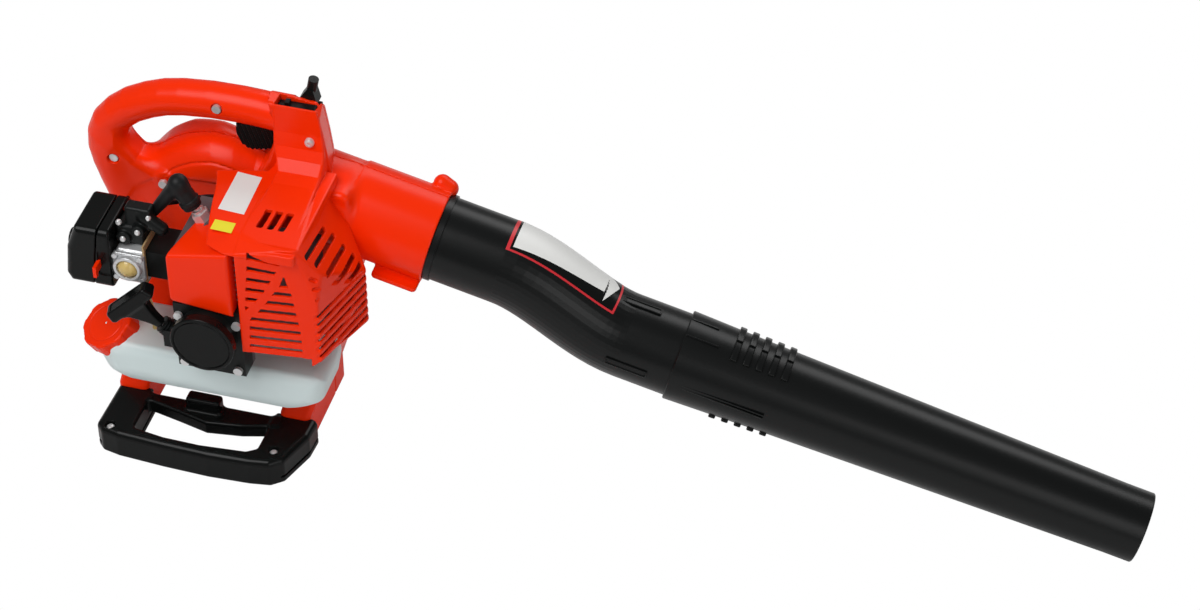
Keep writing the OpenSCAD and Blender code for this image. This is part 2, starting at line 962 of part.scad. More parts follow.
module choke_lever() {
    place() color(orange) {
        block([carb_x - 13.5, carb_y - 34, carb_z - 4], [carb_x - 10.5, carb_y - 14, carb_z + 4]);
        block([carb_x - 13.5, carb_y - 38, carb_z - 7], [carb_x - 10.5, carb_y - 34, carb_z + 4]);
        translate([carb_x - 13.5, carb_y, carb_z])
            rotate([0, 90, 0])
                cylinder(d = 18, h = 3);
        block([carb_x - 13.5, carb_y - 16, carb_z - 3], [carb_x - 10.5, carb_y, carb_z + 3]);
    }
}

// ---------- starter ----------

module starter_housing() {
    place() color(black)
        difference() {
            union() {
                rod_y(0, crank_h, starter_y0, starter_y1 + 1, hub_r * 2);
                block(
                    [-plate_x, starter_y1, crank_h - plate_drop],
                    [plate_x, crank_y0, crank_h + plate_rise]
                );
                block([guide_x, rope_y - 8, guide_z - 16], [-plate_x + 1, rope_y + 8, guide_z + 2]);
                rope_axis()
                    translate([0, 0, -14])
                        cylinder(d = 12, h = 16);
            }
            rod_y(0, crank_h, starter_y1 + 1, crank_y0 + 1, drum_r * 2);
            rope_axis()
                translate([0, 0, -26])
                    cylinder(d = rope_d + 1, h = 60);
            rod_y(0, crank_h, starter_y0 - 1, starter_y1 + 2, 10);
            for (s = plate_screw_at)
                rod_y(s[0], crank_h + s[1], starter_y1 - 1, crank_y0 + 1, screw_d + 0.6);
        }
}

// The line the starter rope is pulled along, from its guide
module rope_axis() {
    translate([guide_x, rope_y, guide_z])
        rotate([0, -rope_lean, rope_turn])
            rotate([0, 0, grip_twist])
                children();
}

module starter_disc() {
    place() color(black) {
        translate([0, starter_y0, crank_h])
            rotate([90, 0, 0])
                cylinder(r = disc_r, h = starter_y0 - starter_y - 3);
        translate([0, starter_y + 3, crank_h])
            rotate([90, 0, 0])
                cylinder(r1 = disc_r, r2 = disc_r - 4, h = 3);
        rod_y(0, crank_h, starter_y0, rope_y + 7, 9.8);
    }
}

module starter_pulley() {
    place() color([0.75, 0.75, 0.72])
        difference() {
            union() {
                rod_y(0, crank_h, rope_y - 4, rope_y + 4, pulley_r * 2);
                for (y = [rope_y - 5.5, rope_y + 4])
                    rod_y(0, crank_h, y, y + 1.5, 50);
            }
            rod_y(0, crank_h, rope_y - 10, rope_y + 10, 9.8 + 2 * run_gap);
        }
}

// Flat coil spring behind the pulley
module recoil_spring() {
    turns = 6;
    pitch_r = 1.9;
    steps = 24;
    r0 = 9;
    inner = [
        for (i = [0 : turns * steps])
            let (a = 360 * i / steps, r = r0 + pitch_r * i / steps)
            [r * cos(a), r * sin(a)]
    ];
    outer = [
        for (i = [turns * steps : -1 : 0])
            let (a = 360 * i / steps, r = r0 + 0.7 + pitch_r * i / steps)
            [r * cos(a), r * sin(a)]
    ];
    place() color(steel)
        translate([0, 0, crank_h])
            along_y(rope_y + 5.8, rope_y + 9.7)
                polygon(concat(inner, outer));
}

module starter_rope() {
    place() color([0.9, 0.9, 0.86])
        rope_axis()
            translate([0, 0, -12])
                cylinder(d = rope_d, h = rope_run + 12, $fn = 16);
}

module starter_grip() {
    place() color(black)
        rope_axis()
                difference() {
                    union() {
                        translate([0, 0, rope_run])
                            hull() {
                                translate([-grip_bar / 2, -9, 2])
                                    cube([grip_bar, 18, 10]);
                                translate([-grip_bar / 2 + 8, -7, 16])
                                    cube([grip_bar - 16, 14, 2]);
                            }
                        hull() {
                            translate([0, 0, 5])
                                cylinder(d = 9, h = 2, $fn = hull_fn);
                            translate([-14, -7, rope_run])
                                cube([28, 14, 4]);
                        }
                    }
                    translate([0, 0, -1])
                        cylinder(d = rope_d + 0.6, h = rope_run + 2);
                }
}

// ---------- fuel ----------

tank_x0 = -112;
tank_y0 = -112;
tank_y1 = -46;
tank_h = 62;
fuel_x = -72;
fuel_y = -82;

module tank_body(grow) {
    hull() {
        for (x = [tank_x0 + 26, tank_x0 + tank_l - 26])
            rod_corner(x, tank_z + 20, 20 - grow);
        for (x = [tank_x0 + 16, tank_x0 + tank_l - 16])
            rod_corner(x, tank_z + tank_h - 12, 12 - grow);
    }
}

// A bar along Y with round ends, one corner of the tank
module rod_corner(x, z, r) {
    edge = 8;
    rod_y(x, z, tank_y0 + edge, tank_y1 - edge, 2 * r, $fn = hull_fn);
    rod_y(x, z, tank_y0 + 20 - r, tank_y1 - 20 + r, 2 * r - edge, $fn = hull_fn);
}

module cap_axis() {
    translate([cap_x, cap_y, cap_z])
        rotate([0, 0, cap_turn])
            rotate([0, cap_tilt, 0])
                children();
}

module fuel_tank() {
    place() color(tank_white)
        difference() {
            union() {
                tank_body(0);
                cap_axis()
                    translate([0, 0, -26])
                        cylinder(d = 31, h = 33);
            }
            tank_body(2.5);
            cap_axis()
                translate([0, 0, -16])
                    cylinder(d = 25, h = 40);
            translate([fuel_x, fuel_y, tank_z + tank_h - 10])
                cylinder(d = 5.8, h = 20);
        }
}

module fuel_cap() {
    place() color(orange)
        cap_axis()
            difference() {
                union() {
                    translate([0, 0, cap_lift_gap])
                        cylinder(d = cap_d - 3, h = cap_h - cap_lift_gap);
                    for (i = [0 : 7])
                        rotate([0, 0, i * 45])
                            translate([cap_d / 2 - 6, -6, cap_lift_gap])
                                cube([6, 12, cap_h - 1.5 - cap_lift_gap]);
                }
                translate([0, 0, -1])
                    cylinder(d = 31.6, h = 11);
            }
}

module cap_gasket() {
    place() color(black)
        cap_axis()
            translate([0, 0, 7.3])
                difference() {
                    cylinder(d = 30, h = 2.4);
                    translate([0, 0, -1])
                        cylinder(d = 20, h = 5);
                }
}

// Where the fuel line runs, from inside the tank to the carburettor
fuel_points = [
    [-40, fuel_y, 86],
    [-56, fuel_y, 89],
    [-67, fuel_y, 98],
    [fuel_x, fuel_y, 112],
    [fuel_x, fuel_y, 126],
    [fuel_x, fuel_y, 142],
    [fuel_x - 1, fuel_y - 3, 162],
    [fuel_x - 2, fuel_y - 8, 184],
    [fuel_x - 2, fuel_y - 10, 204.4]
];

module fuel_line() {
    place() color([0.8, 0.6, 0.2])
        lead_tube(fuel_points, 2.5, 8, [0, 1, 0]);
}

module fuel_filter() {
    place() color([0.9, 0.9, 0.88])
        difference() {
            translate([-40, fuel_y, 86])
                rotate([0, 90, 0])
                    cylinder(d = 14, h = 20);
            translate([-41, fuel_y, 86])
                rotate([0, 90, 0])
                    cylinder(d = 5, h = 2);
        }
}

// ---------- controls ----------

module trigger() {
    back_x = trigger_x - trigger_back;
    place() color(black)
        difference() {
            along_y(-trigger_w / 2, trigger_w / 2)
                polygon([
                    [back_x, grip_z - 22],
                    [back_x + 3, grip_z - 46],
                    [back_x + 8, grip_z - 46],
                    [trigger_x - 14, grip_z - 36],
                    [trigger_x - 1, grip_z - 28],
                    [pivot_x + 4, pivot_z - 4],
                    [pivot_x + 5, pivot_z + 3],
                    [trigger_x - 4, grip_z - 12],
                    [back_x + 4, grip_z - 14]
                ]);
            rod_y(pivot_x, pivot_z, -20, 20, pin_d + 2 * run_gap);
        }
}

module trigger_pin() {
    place() color(steel)
        rod_y(pivot_x, pivot_z, -pin_reach, pin_reach, pin_d);
}

module trigger_spring() {
    place() color(steel)
        translate([trigger_x - 26, 0, grip_z - 13.1])
            difference() {
                cylinder(d = 8, h = 25);
                translate([0, 0, -1])
                    cylinder(d = 5.5, h = 27);
            }
}

module cruise_lever() {
    place() color(black) {
        rod_y(lever_x, lever_z, -12, 15.4, lever_d);
        along_y(3.5, 15)
            polygon([
                [49, grip_z],
                [55, grip_z],
                [60, grip_z + 11],
                [57, grip_z + 24],
                [52, grip_z + 26],
                [44, grip_z + 14]
            ]);
        translate([54, 9, grip_z + 22])
            rotate([0, 12, 0])
                cylinder(d = 9, h = 12);
    }
}

module stop_switch() {
    place() color(black) {
        block([switch_x + 2, -switch_depth + 2, grip_z + 6], [switch_x + 16, -2, grip_z + 13]);
        block([switch_x + 7, -switch_depth + 4, grip_z + 13], [switch_x + 11, -4, grip_z + 19]);
    }
}

// ---------- stand ----------

module stand_loop() {
    y0 = -120;
    y1 = leg_y0 - seat_gap;
    place() color(black)
        difference() {
            union() {
                along_z(0, bar_h)
                    polygon([
                        [-126, y1], [-126, y0 + 8], [-118, y0], [36, y0],
                        [46, y0 + 8], [60, y1]
                    ]);
                block([-54, y1 - 12, bar_h - 1], [-24, y1, bar_h + 14]);
            }
            along_z(-1, bar_h + 1)
                polygon([
                    [-88, y1 - 22], [-88, y0 + bar_w - 14], [22, y0 + bar_w - 14],
                    [28, y1 - 22]
                ]);
        }
}

module along_z(z0, z1) {
    translate([0, 0, z0])
        linear_extrude(z1 - z0)
            children();
}

// ---------- covers ----------

module cover_shape(t) {
    x0 = 31;
    hull() {
        block([x0, cover_y0 + t, 164 + t], [88 - t, -112, deck_z - 12 - t]);
        block([x0, cover_y0 + 14 + t, 250], [74 - t, cover_y1 - t, deck_z - 1 - t]);
        block([x0, cover_y0 + 14 + t, 166 + t], [98 - t, cover_y1 - t, 250]);
        block([x0, -90 + t, 140 + t], [120 - t, cover_y1 - t, 236 - t]);
    }
}

module engine_cover() {
    place() color(orange)
        difference() {
            union() {
                cover_shape(0);
                block([-6, cover_y0 + 14, deck_z - 12], [84, case_y0 - seat_gap, deck_z]);
            }
            translate([-1, 0, 0])
                cover_shape(cover_wall);
            block([30, cover_y1 - 4, 150], [40, cover_y1 + 1, 228]);
            block(
                [-7, cover_y0 + 14 + cover_wall, deck_z - 20],
                [80, case_y0 - cover_wall, deck_z - cover_wall]
            );
            for (i = [0 : 8])
                block(
                    [50 - 14 * i / 8 - 2, cover_y0 - 1, 256 - i * 10.5],
                    [52 + 26 * i / 8 + 2, cover_y0 + 5, 261 - i * 10.5]
                );
            for (i = [0 : 2])
                block([40 + i * 10, -108, deck_z - 4], [45 + i * 10, -74, deck_z + 1]);
            on_outlet(0)
                cylinder(d = collar_d + 1.4, h = collar_s);
            rod_y(84, crank_h + 73, -62, -40, 18);
        }
}

module cylinder_cover() {
    y1 = -92;
    place() color(orange)
        difference() {
            union() {
                difference() {
                    along_y(cover_y0, y1)
                        polygon([
                            [-33, crank_h + 30], [24, crank_h + 23],
                            [24, crank_h + 90], [-33, crank_h + 81]
                        ]);
                    along_y(cover_y0 + cover_wall, y1 + 1)
                        polygon([
                            [-30.5, crank_h], [25, crank_h],
                            [25, crank_h + 87.6], [-30.5, crank_h + 78.5]
                        ]);
                }
                for (x = [-20, 14])
                    rod_y(x, crank_h + 56, cover_y0 + 1, fin_y0 - seat_gap, 9);
            }
            block([-34, carb_y - 19, crank_h], [-30, y1 + 1, carb_z + 16]);
            plug_axis()
                cylinder(d = 27, h = 30);
        }
}

// ---------- pipes ----------

// Drop of the curved pipe's line at a distance s from the collar's end, and its slope there
function bend_share(s) = min(max((s - first_straight) / bend_len, 0), 1);
function pipe_drop(s) = bend_drop * pow(bend_share(s), 2) * (3 - 2 * bend_share(s));
function pipe_slope(s) = atan(6 * bend_drop * bend_share(s) * (1 - bend_share(s)) / bend_len);

// One ring of points of the bend at a distance s, with radius r
function bend_ring(s, r, sides) = [
    for (i = [0 : sides - 1])
        let (a = 360 * i / sides)
        [
            pipe_drop(s) + r * cos(a) * cos(pipe_slope(s)),
            r * sin(a),
            s - r * cos(a) * sin(pipe_slope(s))
        ]
];

// The bend as one closed tube; its ends are sunk into the walls of the straights
module bend_tube() {
    sides = 48;
    steps = 14;
    sunk = 1.5;
    at = concat(
        [first_straight - sunk],
        [for (i = [0 : steps]) first_straight + bend_len * i / steps],
        [first_straight + bend_len + sunk]
    );
    count = len(at);
    outer_r = pipe_d / 2 - 0.05;
    inner_r = pipe_d / 2 - pipe_wall + 0.15;
    points = [
        for (r = [outer_r, inner_r], s = at)
            each bend_ring(s, r, sides)
    ];
    walls = [
        for (wall_no = [0, 1], k = [0 : count - 2], i = [0 : sides - 1])
            let (
                j = (i + 1) % sides,
                low = (wall_no * count + k) * sides,
                high = low + sides,
                p = wall_no == 0 ? j : i,
                q = wall_no == 0 ? i : j
            )
            each [[low + p, low + q, high + q], [low + p, high + q, high + p]]
    ];
    ends = [
        for (e = [0, 1], i = [0 : sides - 1])
            let (
                j = (i + 1) % sides,
                out = e * (count - 1) * sides,
                in = out + count * sides,
                p = e == 0 ? i : j,
                q = e == 0 ? j : i
            )
            each [[out + p, out + q, in + q], [out + p, in + q, in + p]]
    ];
    polyhedron(points, concat(walls, ends));
}

module pipe_ring(length, extra, inner) {
    linear_extrude(length)
        difference() {
            circle(d = pipe_d + extra, $fn = 96);
            circle(d = inner, $fn = 96);
        }
}

module curved_pipe() {
    inside = collar_len - 8;
    inner = pipe_d - 2 * pipe_wall;
    bend_end = first_straight + bend_len;
    place() color(black)
        on_outlet(collar_s) {
            translate([0, 0, -inside])
                pipe_ring(inside + first_straight, 0, inner);
            translate([0, 0, 1])
                pipe_ring(5, 3, pipe_d - 1);
            bend_tube();
            translate([bend_drop, 0, bend_end])
                pipe_ring(sleeve_s + sleeve_len - 10 - bend_end, 0, inner);
        }
}

module nozzle_pipe() {
    s_shoulder = sleeve_s + sleeve_len;
    s_land = tip_s - tip_land;
    neck_d = 76;
    place() color(black)
        on_outlet(collar_s, bend_drop) {
            difference() {
                union() {
                    translate([0, 0, sleeve_s])
                        cylinder(d1 = sleeve_d, d2 = neck_d, h = sleeve_len, $fn = 96);
                    translate([0, 0, s_shoulder])
                        cylinder(d1 = neck_d, d2 = tip_d, h = s_land - s_shoulder, $fn = 96);
                    translate([0, 0, s_land])
                        cylinder(d = tip_d, h = tip_land, $fn = 96);
                    for (side = [-1, 1], i = [0 : 4])
                        rotate([0, 0, side * 62])
                            translate([-41, -14, sleeve_s + 40 + i * 13])
                                cube([8, 28, 6]);
                }
                translate([0, 0, sleeve_s - 1])
                    cylinder(d = pipe_d + 0.2, h = sleeve_len - 8, $fn = 96);
                translate([0, 0, s_shoulder - 10])
                    cylinder(
                        d1 = pipe_d - 5, d2 = tip_d - 4, h = s_land - s_shoulder + 10, $fn = 96
                    );
                translate([0, 0, s_land - 0.01])
                    cylinder(d = tip_d - 4, h = tip_land + 1, $fn = 96);
            }
        }
}

// ---------- fasteners ----------

module case_screws() {
    place() color(steel)
        for (s = case_screw_at) {
            rod_y(s[0], crank_h + s[1], s[2] - 3, s[2], head_d);
            rod_y(s[0], crank_h + s[1], s[2] - 1, s[3], screw_d);
        }
}

module engine_screws() {
    place() color(steel)
        for (s = plate_screw_at) {
            rod_y(s[0], crank_h + s[1], starter_y1 - 3, starter_y1, head_d);
            rod_y(s[0], crank_h + s[1], starter_y1 - 1, crank_y0 + 5.5, screw_d);
        }
}

fan_case_near();
fan_case_far();
intake_guard();
engine_cover();
cylinder_cover();
impeller();
impeller_nut();
crankcase();
finned_cylinder();
piston();
piston_ring();
wrist_pin();
connecting_rod();
crank_pin();
crankshaft();
crank_bearings();
crank_seals();
flywheel();
ignition_coil();
spark_plug();
plug_boot();
ignition_lead();
muffler();
muffler_gasket();
insulator();
intake_gasket();
carburettor();
primer_bulb();
throttle_shaft();
throttle_cable();
choke_lever();
air_box();
air_filter();
air_cover();
cover_knob();
starter_housing();
starter_disc();
starter_pulley();
recoil_spring();
starter_rope();
starter_grip();
fuel_tank();
fuel_cap();
cap_gasket();
fuel_line();
fuel_filter();
trigger();
trigger_pin();
trigger_spring();
cruise_lever();
stop_switch();
stand_loop();
curved_pipe();
nozzle_pipe();
case_screws();
engine_screws();
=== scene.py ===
import bpy
import bmesh
import json
import math
import numpy as np
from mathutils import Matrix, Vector


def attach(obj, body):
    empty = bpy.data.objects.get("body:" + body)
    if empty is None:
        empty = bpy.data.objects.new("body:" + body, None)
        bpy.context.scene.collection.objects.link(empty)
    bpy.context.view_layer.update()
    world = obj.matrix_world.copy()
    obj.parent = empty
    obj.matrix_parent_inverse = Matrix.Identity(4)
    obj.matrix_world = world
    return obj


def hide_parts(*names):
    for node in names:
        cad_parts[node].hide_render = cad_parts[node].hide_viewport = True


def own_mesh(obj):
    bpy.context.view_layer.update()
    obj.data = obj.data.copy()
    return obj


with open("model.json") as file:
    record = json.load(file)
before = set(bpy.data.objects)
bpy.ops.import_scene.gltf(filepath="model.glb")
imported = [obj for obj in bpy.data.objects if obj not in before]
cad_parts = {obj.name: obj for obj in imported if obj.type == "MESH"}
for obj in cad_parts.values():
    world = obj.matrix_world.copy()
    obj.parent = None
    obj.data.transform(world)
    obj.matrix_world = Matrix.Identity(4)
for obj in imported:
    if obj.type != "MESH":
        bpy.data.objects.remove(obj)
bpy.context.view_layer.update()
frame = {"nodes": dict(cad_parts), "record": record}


# ---------- frame and camera ----------
# Modelling is in machine millimetres: X along the pipes from the crankshaft, Y away from
# the starter, Z up from the ground.
SHIFT = np.array([-323.447, 36.0, 0.0])
PITCH = math.radians(13.9)
CRANK = np.array([0.0, 0.0, 185.5])


def model(p):
    return (np.asarray(p, float) + SHIFT) / 1000.0


# Fitted to the photograph: what the camera looks at, the way back to it and how far (metres)
CAMERA_AIM = Vector((-0.015447, 0.036, 0.175))
CAMERA_BACK = Vector((0.1961, -0.7168, 0.6691)).normalized()
CAMERA_AWAY = 2.923
FOCAL_PX = 3400.0
PHOTO_WIDTH_PX = 1200.0
SENSOR_MM = 36.0

scene = bpy.context.scene


def add_camera():
    data = bpy.data.cameras.new("camera")
    camera = bpy.data.objects.new("camera", data)
    scene.collection.objects.link(camera)
    camera.location = CAMERA_AIM + CAMERA_BACK * CAMERA_AWAY
    camera.rotation_euler = CAMERA_BACK.to_track_quat("Z", "Y").to_euler()
    data.sensor_width = SENSOR_MM
    data.lens = SENSOR_MM * FOCAL_PX / PHOTO_WIDTH_PX
    data.clip_end = 50.0
    scene.camera = camera


add_camera()

# ---------- materials ----------
BUMP_HEIGHT = 0.0006


def add_bump(tree, surface, strength, scale):
    """Fine grain: noise as a bump up to BUMP_HEIGHT high."""
    noise = tree.nodes.new("ShaderNodeTexNoise")
    noise.inputs["Scale"].default_value = scale
    noise.inputs["Detail"].default_value = 3.0
    place = tree.nodes.new("ShaderNodeTexCoord")
    tree.links.new(place.outputs["Object"], noise.inputs["Vector"])
    bump = tree.nodes.new("ShaderNodeBump")
    bump.inputs["Strength"].default_value = strength
    bump.inputs["Distance"].default_value = BUMP_HEIGHT
    tree.links.new(noise.outputs["Fac"], bump.inputs["Height"])
    tree.links.new(bump.outputs["Normal"], surface.inputs["Normal"])


def mat(name, color, rough=0.4, metal=0.0, bump=0.0, scale=900.0, trans=0.0, spec=0.5):
    material = bpy.data.materials.new(name)
    material.use_nodes = True
    surface = material.node_tree.nodes["Principled BSDF"]
    surface.inputs["Base Color"].default_value = (*color, 1.0)
    surface.inputs["Roughness"].default_value = rough
    surface.inputs["Metallic"].default_value = metal
    surface.inputs["Specular IOR Level"].default_value = spec
    if trans:
        surface.inputs["Transmission Weight"].default_value = trans
    if bump:
        add_bump(material.node_tree, surface, bump, scale)
    return material


ORANGE = mat("orange_plastic", (0.94, 0.028, 0.0), 0.27, bump=0.03, scale=500, spec=0.17)
BLACK = mat("black_plastic", (0.0060, 0.0070, 0.0068), 0.36, bump=0.15, scale=1500, spec=0.17)
BLACK_GLOSS = mat("black_gloss", (0.0045, 0.0050, 0.0048), 0.22, spec=0.15)
PIPE = mat("pipe_plastic", (0.0030, 0.0036, 0.0036), 0.30, bump=0.08, scale=1500, spec=0.26)
RED = mat("label_red", (0.62, 0.02, 0.03), 0.4)
PAPER = mat("label_white", (0.78, 0.78, 0.76), 0.4)
YELLOW = mat("label_yellow", (0.80, 0.72, 0.02), 0.4)
RUBBER = mat("rubber", (0.007, 0.0075, 0.008), 0.45, spec=0.2)
DARK = mat("dark_inside", (0.01, 0.009, 0.009), 0.6)
TANK = mat("tank_plastic", (0.66, 0.76, 0.76), 0.38)
SILVER = mat("cast_alloy", (0.66, 0.67, 0.68), 0.36, metal=0.6, bump=0.3, scale=700)
STEEL = mat("steel", (0.72, 0.72, 0.72), 0.32, metal=0.55)
AMBER = mat("amber_rubber", (0.85, 0.62, 0.22), 0.15, trans=0.35)
GASKET = mat("gasket", (0.45, 0.30, 0.14), 0.7)
ENGINE = mat("engine_alloy", (0.16, 0.15, 0.16), 0.5, metal=0.7, bump=0.3, scale=700)
WHITE = mat("white_plastic", (0.75, 0.75, 0.72), 0.4)

SLOTS = {
    "orange_plastic": ORANGE, "black_plastic": BLACK, "rubber": RUBBER, "clear_line": AMBER,
    "tank_plastic": TANK, "white_plastic": WHITE, "rope": WHITE, "foam": DARK,
    "gasket": GASKET, "aluminium": SILVER, "steel": STEEL, "coil": BLACK,
}
SPECIAL = {
    "crankcase": ENGINE, "finned_cylinder": ENGINE, "muffler": ENGINE, "flywheel": ENGINE,
    "starter_pulley": ENGINE, "curved_pipe": PIPE, "nozzle_pipe": PIPE,
}
slot_of = {s["node"]: s["material_slot"] for s in frame["record"]["subparts"]}
for name, obj in frame["nodes"].items():
    obj.data.materials.clear()
    obj.data.materials.append(SPECIAL.get(name, SLOTS[slot_of[name]]))

# ---------- surfaces from distance functions ----------


def smin(a, b, k):
    """Union blended over a width of k."""
    h = np.maximum(k - np.abs(a - b), 0.0) / k
    return np.minimum(a, b) - h * h * k * 0.25


def rmax(a, b, r):
    """Intersection with a round edge of radius r."""
    u = np.maximum(r + a, 0.0)
    v = np.maximum(r + b, 0.0)
    return np.minimum(-r, np.maximum(a, b)) + np.sqrt(u * u + v * v)


def sd_box(p, low, high, r=0.0):
    c = (np.asarray(low, float) + np.asarray(high, float)) / 2
    h = (np.asarray(high, float) - np.asarray(low, float)) / 2 - r
    q = np.abs(p - c) - h
    return np.linalg.norm(np.maximum(q, 0), axis=1) + np.minimum(q.max(1), 0) - r


def sd_seg(p, a, b, ra, rb=None):
    """A round-ended bar from a to b, whose radius runs from ra to rb."""
    a = np.asarray(a, float)
    d = np.asarray(b, float) - a
    t = np.clip(((p - a) @ d) / (d @ d), 0, 1)
    r = ra if rb is None else ra + (rb - ra) * t
    return np.linalg.norm(p - a - t[:, None] * d, axis=1) - r


def sd_rod(p, a, b, r, edge=0.5):
    """A flat-ended round bar from a to b."""
    a = np.asarray(a, float)
    d = np.asarray(b, float) - a
    length = np.linalg.norm(d)
    d = d / length
    t = (p - a) @ d
    rad = np.linalg.norm(p - a - t[:, None] * d, axis=1)
    return rmax(rad - r, np.abs(t - length / 2) - length / 2, edge)


def sd_poly(u, v, points):
    """Signed distance to a polygon in a plane."""
    pts = np.asarray(points, float)
    d = np.full(u.shape, 1e18)
    inside = np.zeros(u.shape, bool)
    n = len(pts)
    for i in range(n):
        ax, ay = pts[i]
        bx, by = pts[(i + 1) % n]
        ex, ey = bx - ax, by - ay
        wx, wy = u - ax, v - ay
        t = np.clip((wx * ex + wy * ey) / (ex * ex + ey * ey), 0, 1)
        dx, dy = wx - ex * t, wy - ey * t
        d = np.minimum(d, dx * dx + dy * dy)
        up = (ay <= v) & (by > v)
        down = (by <= v) & (ay > v)
        side = ex * wy - ey * wx
        inside ^= (up & (side > 0)) | (down & (side < 0))
    d = np.sqrt(d)
    return np.where(inside, -d, d)


def sd_plane(p, point, normal):
    n = np.asarray(normal, float)
    n = n / np.linalg.norm(n)
    return (p - np.asarray(point, float)) @ n


EDGE_LIST = [(a, b) for a in range(8) for b in range(8) if a < b and bin(a ^ b).count("1") == 1]
BLOCK = 8  # cells each way that are sampled together
BLOCKS_AT_ONCE = 400
GRADIENT_STEP = 0.02
SETTLE_STEPS = 3
SETTLE_REACH = 0.6  # of a cell, the most that a point moves


def corner_grid(counts):
    """Whole-number positions from 0 up to each count, one in a row."""
    return np.stack(np.meshgrid(*[np.arange(k) for k in counts], indexing="ij"), -1).reshape(-1, 3)


def sample(f, low, cells, h):
    """f at each corner of the grid; a block far from the surface gets its middle's value."""
    vals = np.empty(cells + 1, np.float32)
    blocks = corner_grid(cells // BLOCK)
    middle = f(low + (blocks * BLOCK + BLOCK / 2) * h)
    half = BLOCK * h * 0.8661
    near = np.abs(middle) < half * 1.35 + h
    for block, value in zip(blocks[~near], middle[~near]):
        i, j, k = block * BLOCK
        vals[i:i + BLOCK + 1, j:j + BLOCK + 1, k:k + BLOCK + 1] = value
    live = blocks[near]
    corner = corner_grid([BLOCK + 1] * 3)
    for at in range(0, len(live), BLOCKS_AT_ONCE):
        part = live[at:at + BLOCKS_AT_ONCE]
        ids = (part[:, None, :] * BLOCK + corner[None]).reshape(-1, 3)
        vals[ids[:, 0], ids[:, 1], ids[:, 2]] = f(low + ids * h)
    return vals


def crossed_cells(inside, cells):
    """The cells that the surface passes through, and each one's number."""
    count = np.zeros(cells, np.uint8)
    for dx, dy, dz in corner_grid([2] * 3):
        count += inside[dx:dx + cells[0], dy:dy + cells[1], dz:dz + cells[2]]
    active = (count > 0) & (count < 8)
    cell = np.argwhere(active)
    index = np.full(cells, -1, np.int64)
    index[active] = np.arange(len(cell))
    return cell, index


def cell_points(vals, cell):
    """A point in each cell, in cells: the mean of where the surface crosses its edges."""
    pos = np.zeros((len(cell), 3))
    num = np.zeros(len(cell))
    for a, b in EDGE_LIST:
        oa = np.array([(a >> k) & 1 for k in range(3)])
        ob = np.array([(b >> k) & 1 for k in range(3)])
        ia, ib = cell + oa, cell + ob
        va = vals[ia[:, 0], ia[:, 1], ia[:, 2]].astype(float)
        vb = vals[ib[:, 0], ib[:, 1], ib[:, 2]].astype(float)
        x = (va < 0) != (vb < 0)
        t = np.where(x, va / np.where(x, va - vb, 1.0), 0.0)
        pos[x] += (ia + t[:, None] * (ob - oa))[x]
        num[x] += 1
    return pos / num[:, None]


def net_faces(inside, index, cells):
    """A square round each grid edge that the surface crosses, turned outward."""
    quads = []
    for axis in range(3):
        u, v = [k for k in range(3) if k != axis]
        first = np.take(inside, range(cells[axis]), axis)
        second = np.take(inside, range(1, cells[axis] + 1), axis)
        e = np.argwhere(first != second)
        e = e[(e[:, u] > 0) & (e[:, v] > 0) & (e[:, u] < cells[u]) & (e[:, v] < cells[v])]
        out = second[e[:, 0], e[:, 1], e[:, 2]]
        ring = []
        for du, dv in ((-1, -1), (0, -1), (0, 0), (-1, 0)):
            c = e.copy()
            c[:, u] += du
            c[:, v] += dv
            ring.append(index[c[:, 0], c[:, 1], c[:, 2]])
        q = np.stack(ring, 1)
        flip = out if axis != 1 else ~out
        q[flip] = q[flip][:, ::-1]
        quads.append(q)
    return np.concatenate(quads)


def gradient(f, pos):
    steps = GRADIENT_STEP * np.eye(3)
    return np.stack([f(pos + e) - f(pos - e) for e in steps], 1) / (2 * GRADIENT_STEP)


def settle(f, start, h):
    """Moves points onto the surface, and gives the surface's normals there."""
    pos = start
    for _ in range(SETTLE_STEPS):
        grad = gradient(f, pos)
        g2 = np.maximum((grad * grad).sum(1), 0.15)
        pos = pos - (f(pos) / g2)[:, None] * grad
        off = pos - start
        far = np.linalg.norm(off, axis=1)
        big = far > SETTLE_REACH * h
        pos[big] = start[big] + off[big] / far[big][:, None] * SETTLE_REACH * h
    grad = gradient(f, pos)
    return pos, grad / np.maximum(np.linalg.norm(grad, axis=1), 1e-6)[:, None]


def nets(f, low, high, h):
    """Vertices, quads and normals of the surface f = 0 inside a box, by surface nets."""
    low = np.asarray(low, float)
    high = np.asarray(high, float)
    cells = np.ceil((high - low) / h / BLOCK).astype(int) * BLOCK
    vals = sample(f, low, cells, h)
    inside = vals < 0
    cell, index = crossed_cells(inside, cells)
    pos, normals = settle(f, low + cell_points(vals, cell) * h, h)
    return pos, net_faces(inside, index, cells), normals


def finish_mesh(name, verts, faces, material, body, normals=None, smooth=True):
    mesh = bpy.data.meshes.new(name)
    mesh.vertices.add(len(verts))
    mesh.vertices.foreach_set("co", model(verts).astype(np.float32).ravel())
    faces = np.asarray(faces)
    k = faces.shape[1]
    mesh.loops.add(faces.size)
    mesh.loops.foreach_set("vertex_index", faces.astype(np.int32).ravel())
    mesh.polygons.add(len(faces))
    mesh.polygons.foreach_set("loop_start", np.arange(0, faces.size, k, dtype=np.int32))
    mesh.polygons.foreach_set("loop_total", np.full(len(faces), k, np.int32))
    mesh.update(calc_edges=True)
    mesh.validate()
    mesh.polygons.foreach_set("use_smooth", np.full(len(mesh.polygons), smooth))
    if normals is not None and len(normals) == len(mesh.vertices):
        mesh.normals_split_custom_set_from_vertices(normals.astype(np.float32))
    mesh.materials.append(material)
    obj = bpy.data.objects.new(name, mesh)
    scene.collection.objects.link(obj)
    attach(obj, body)
    return obj


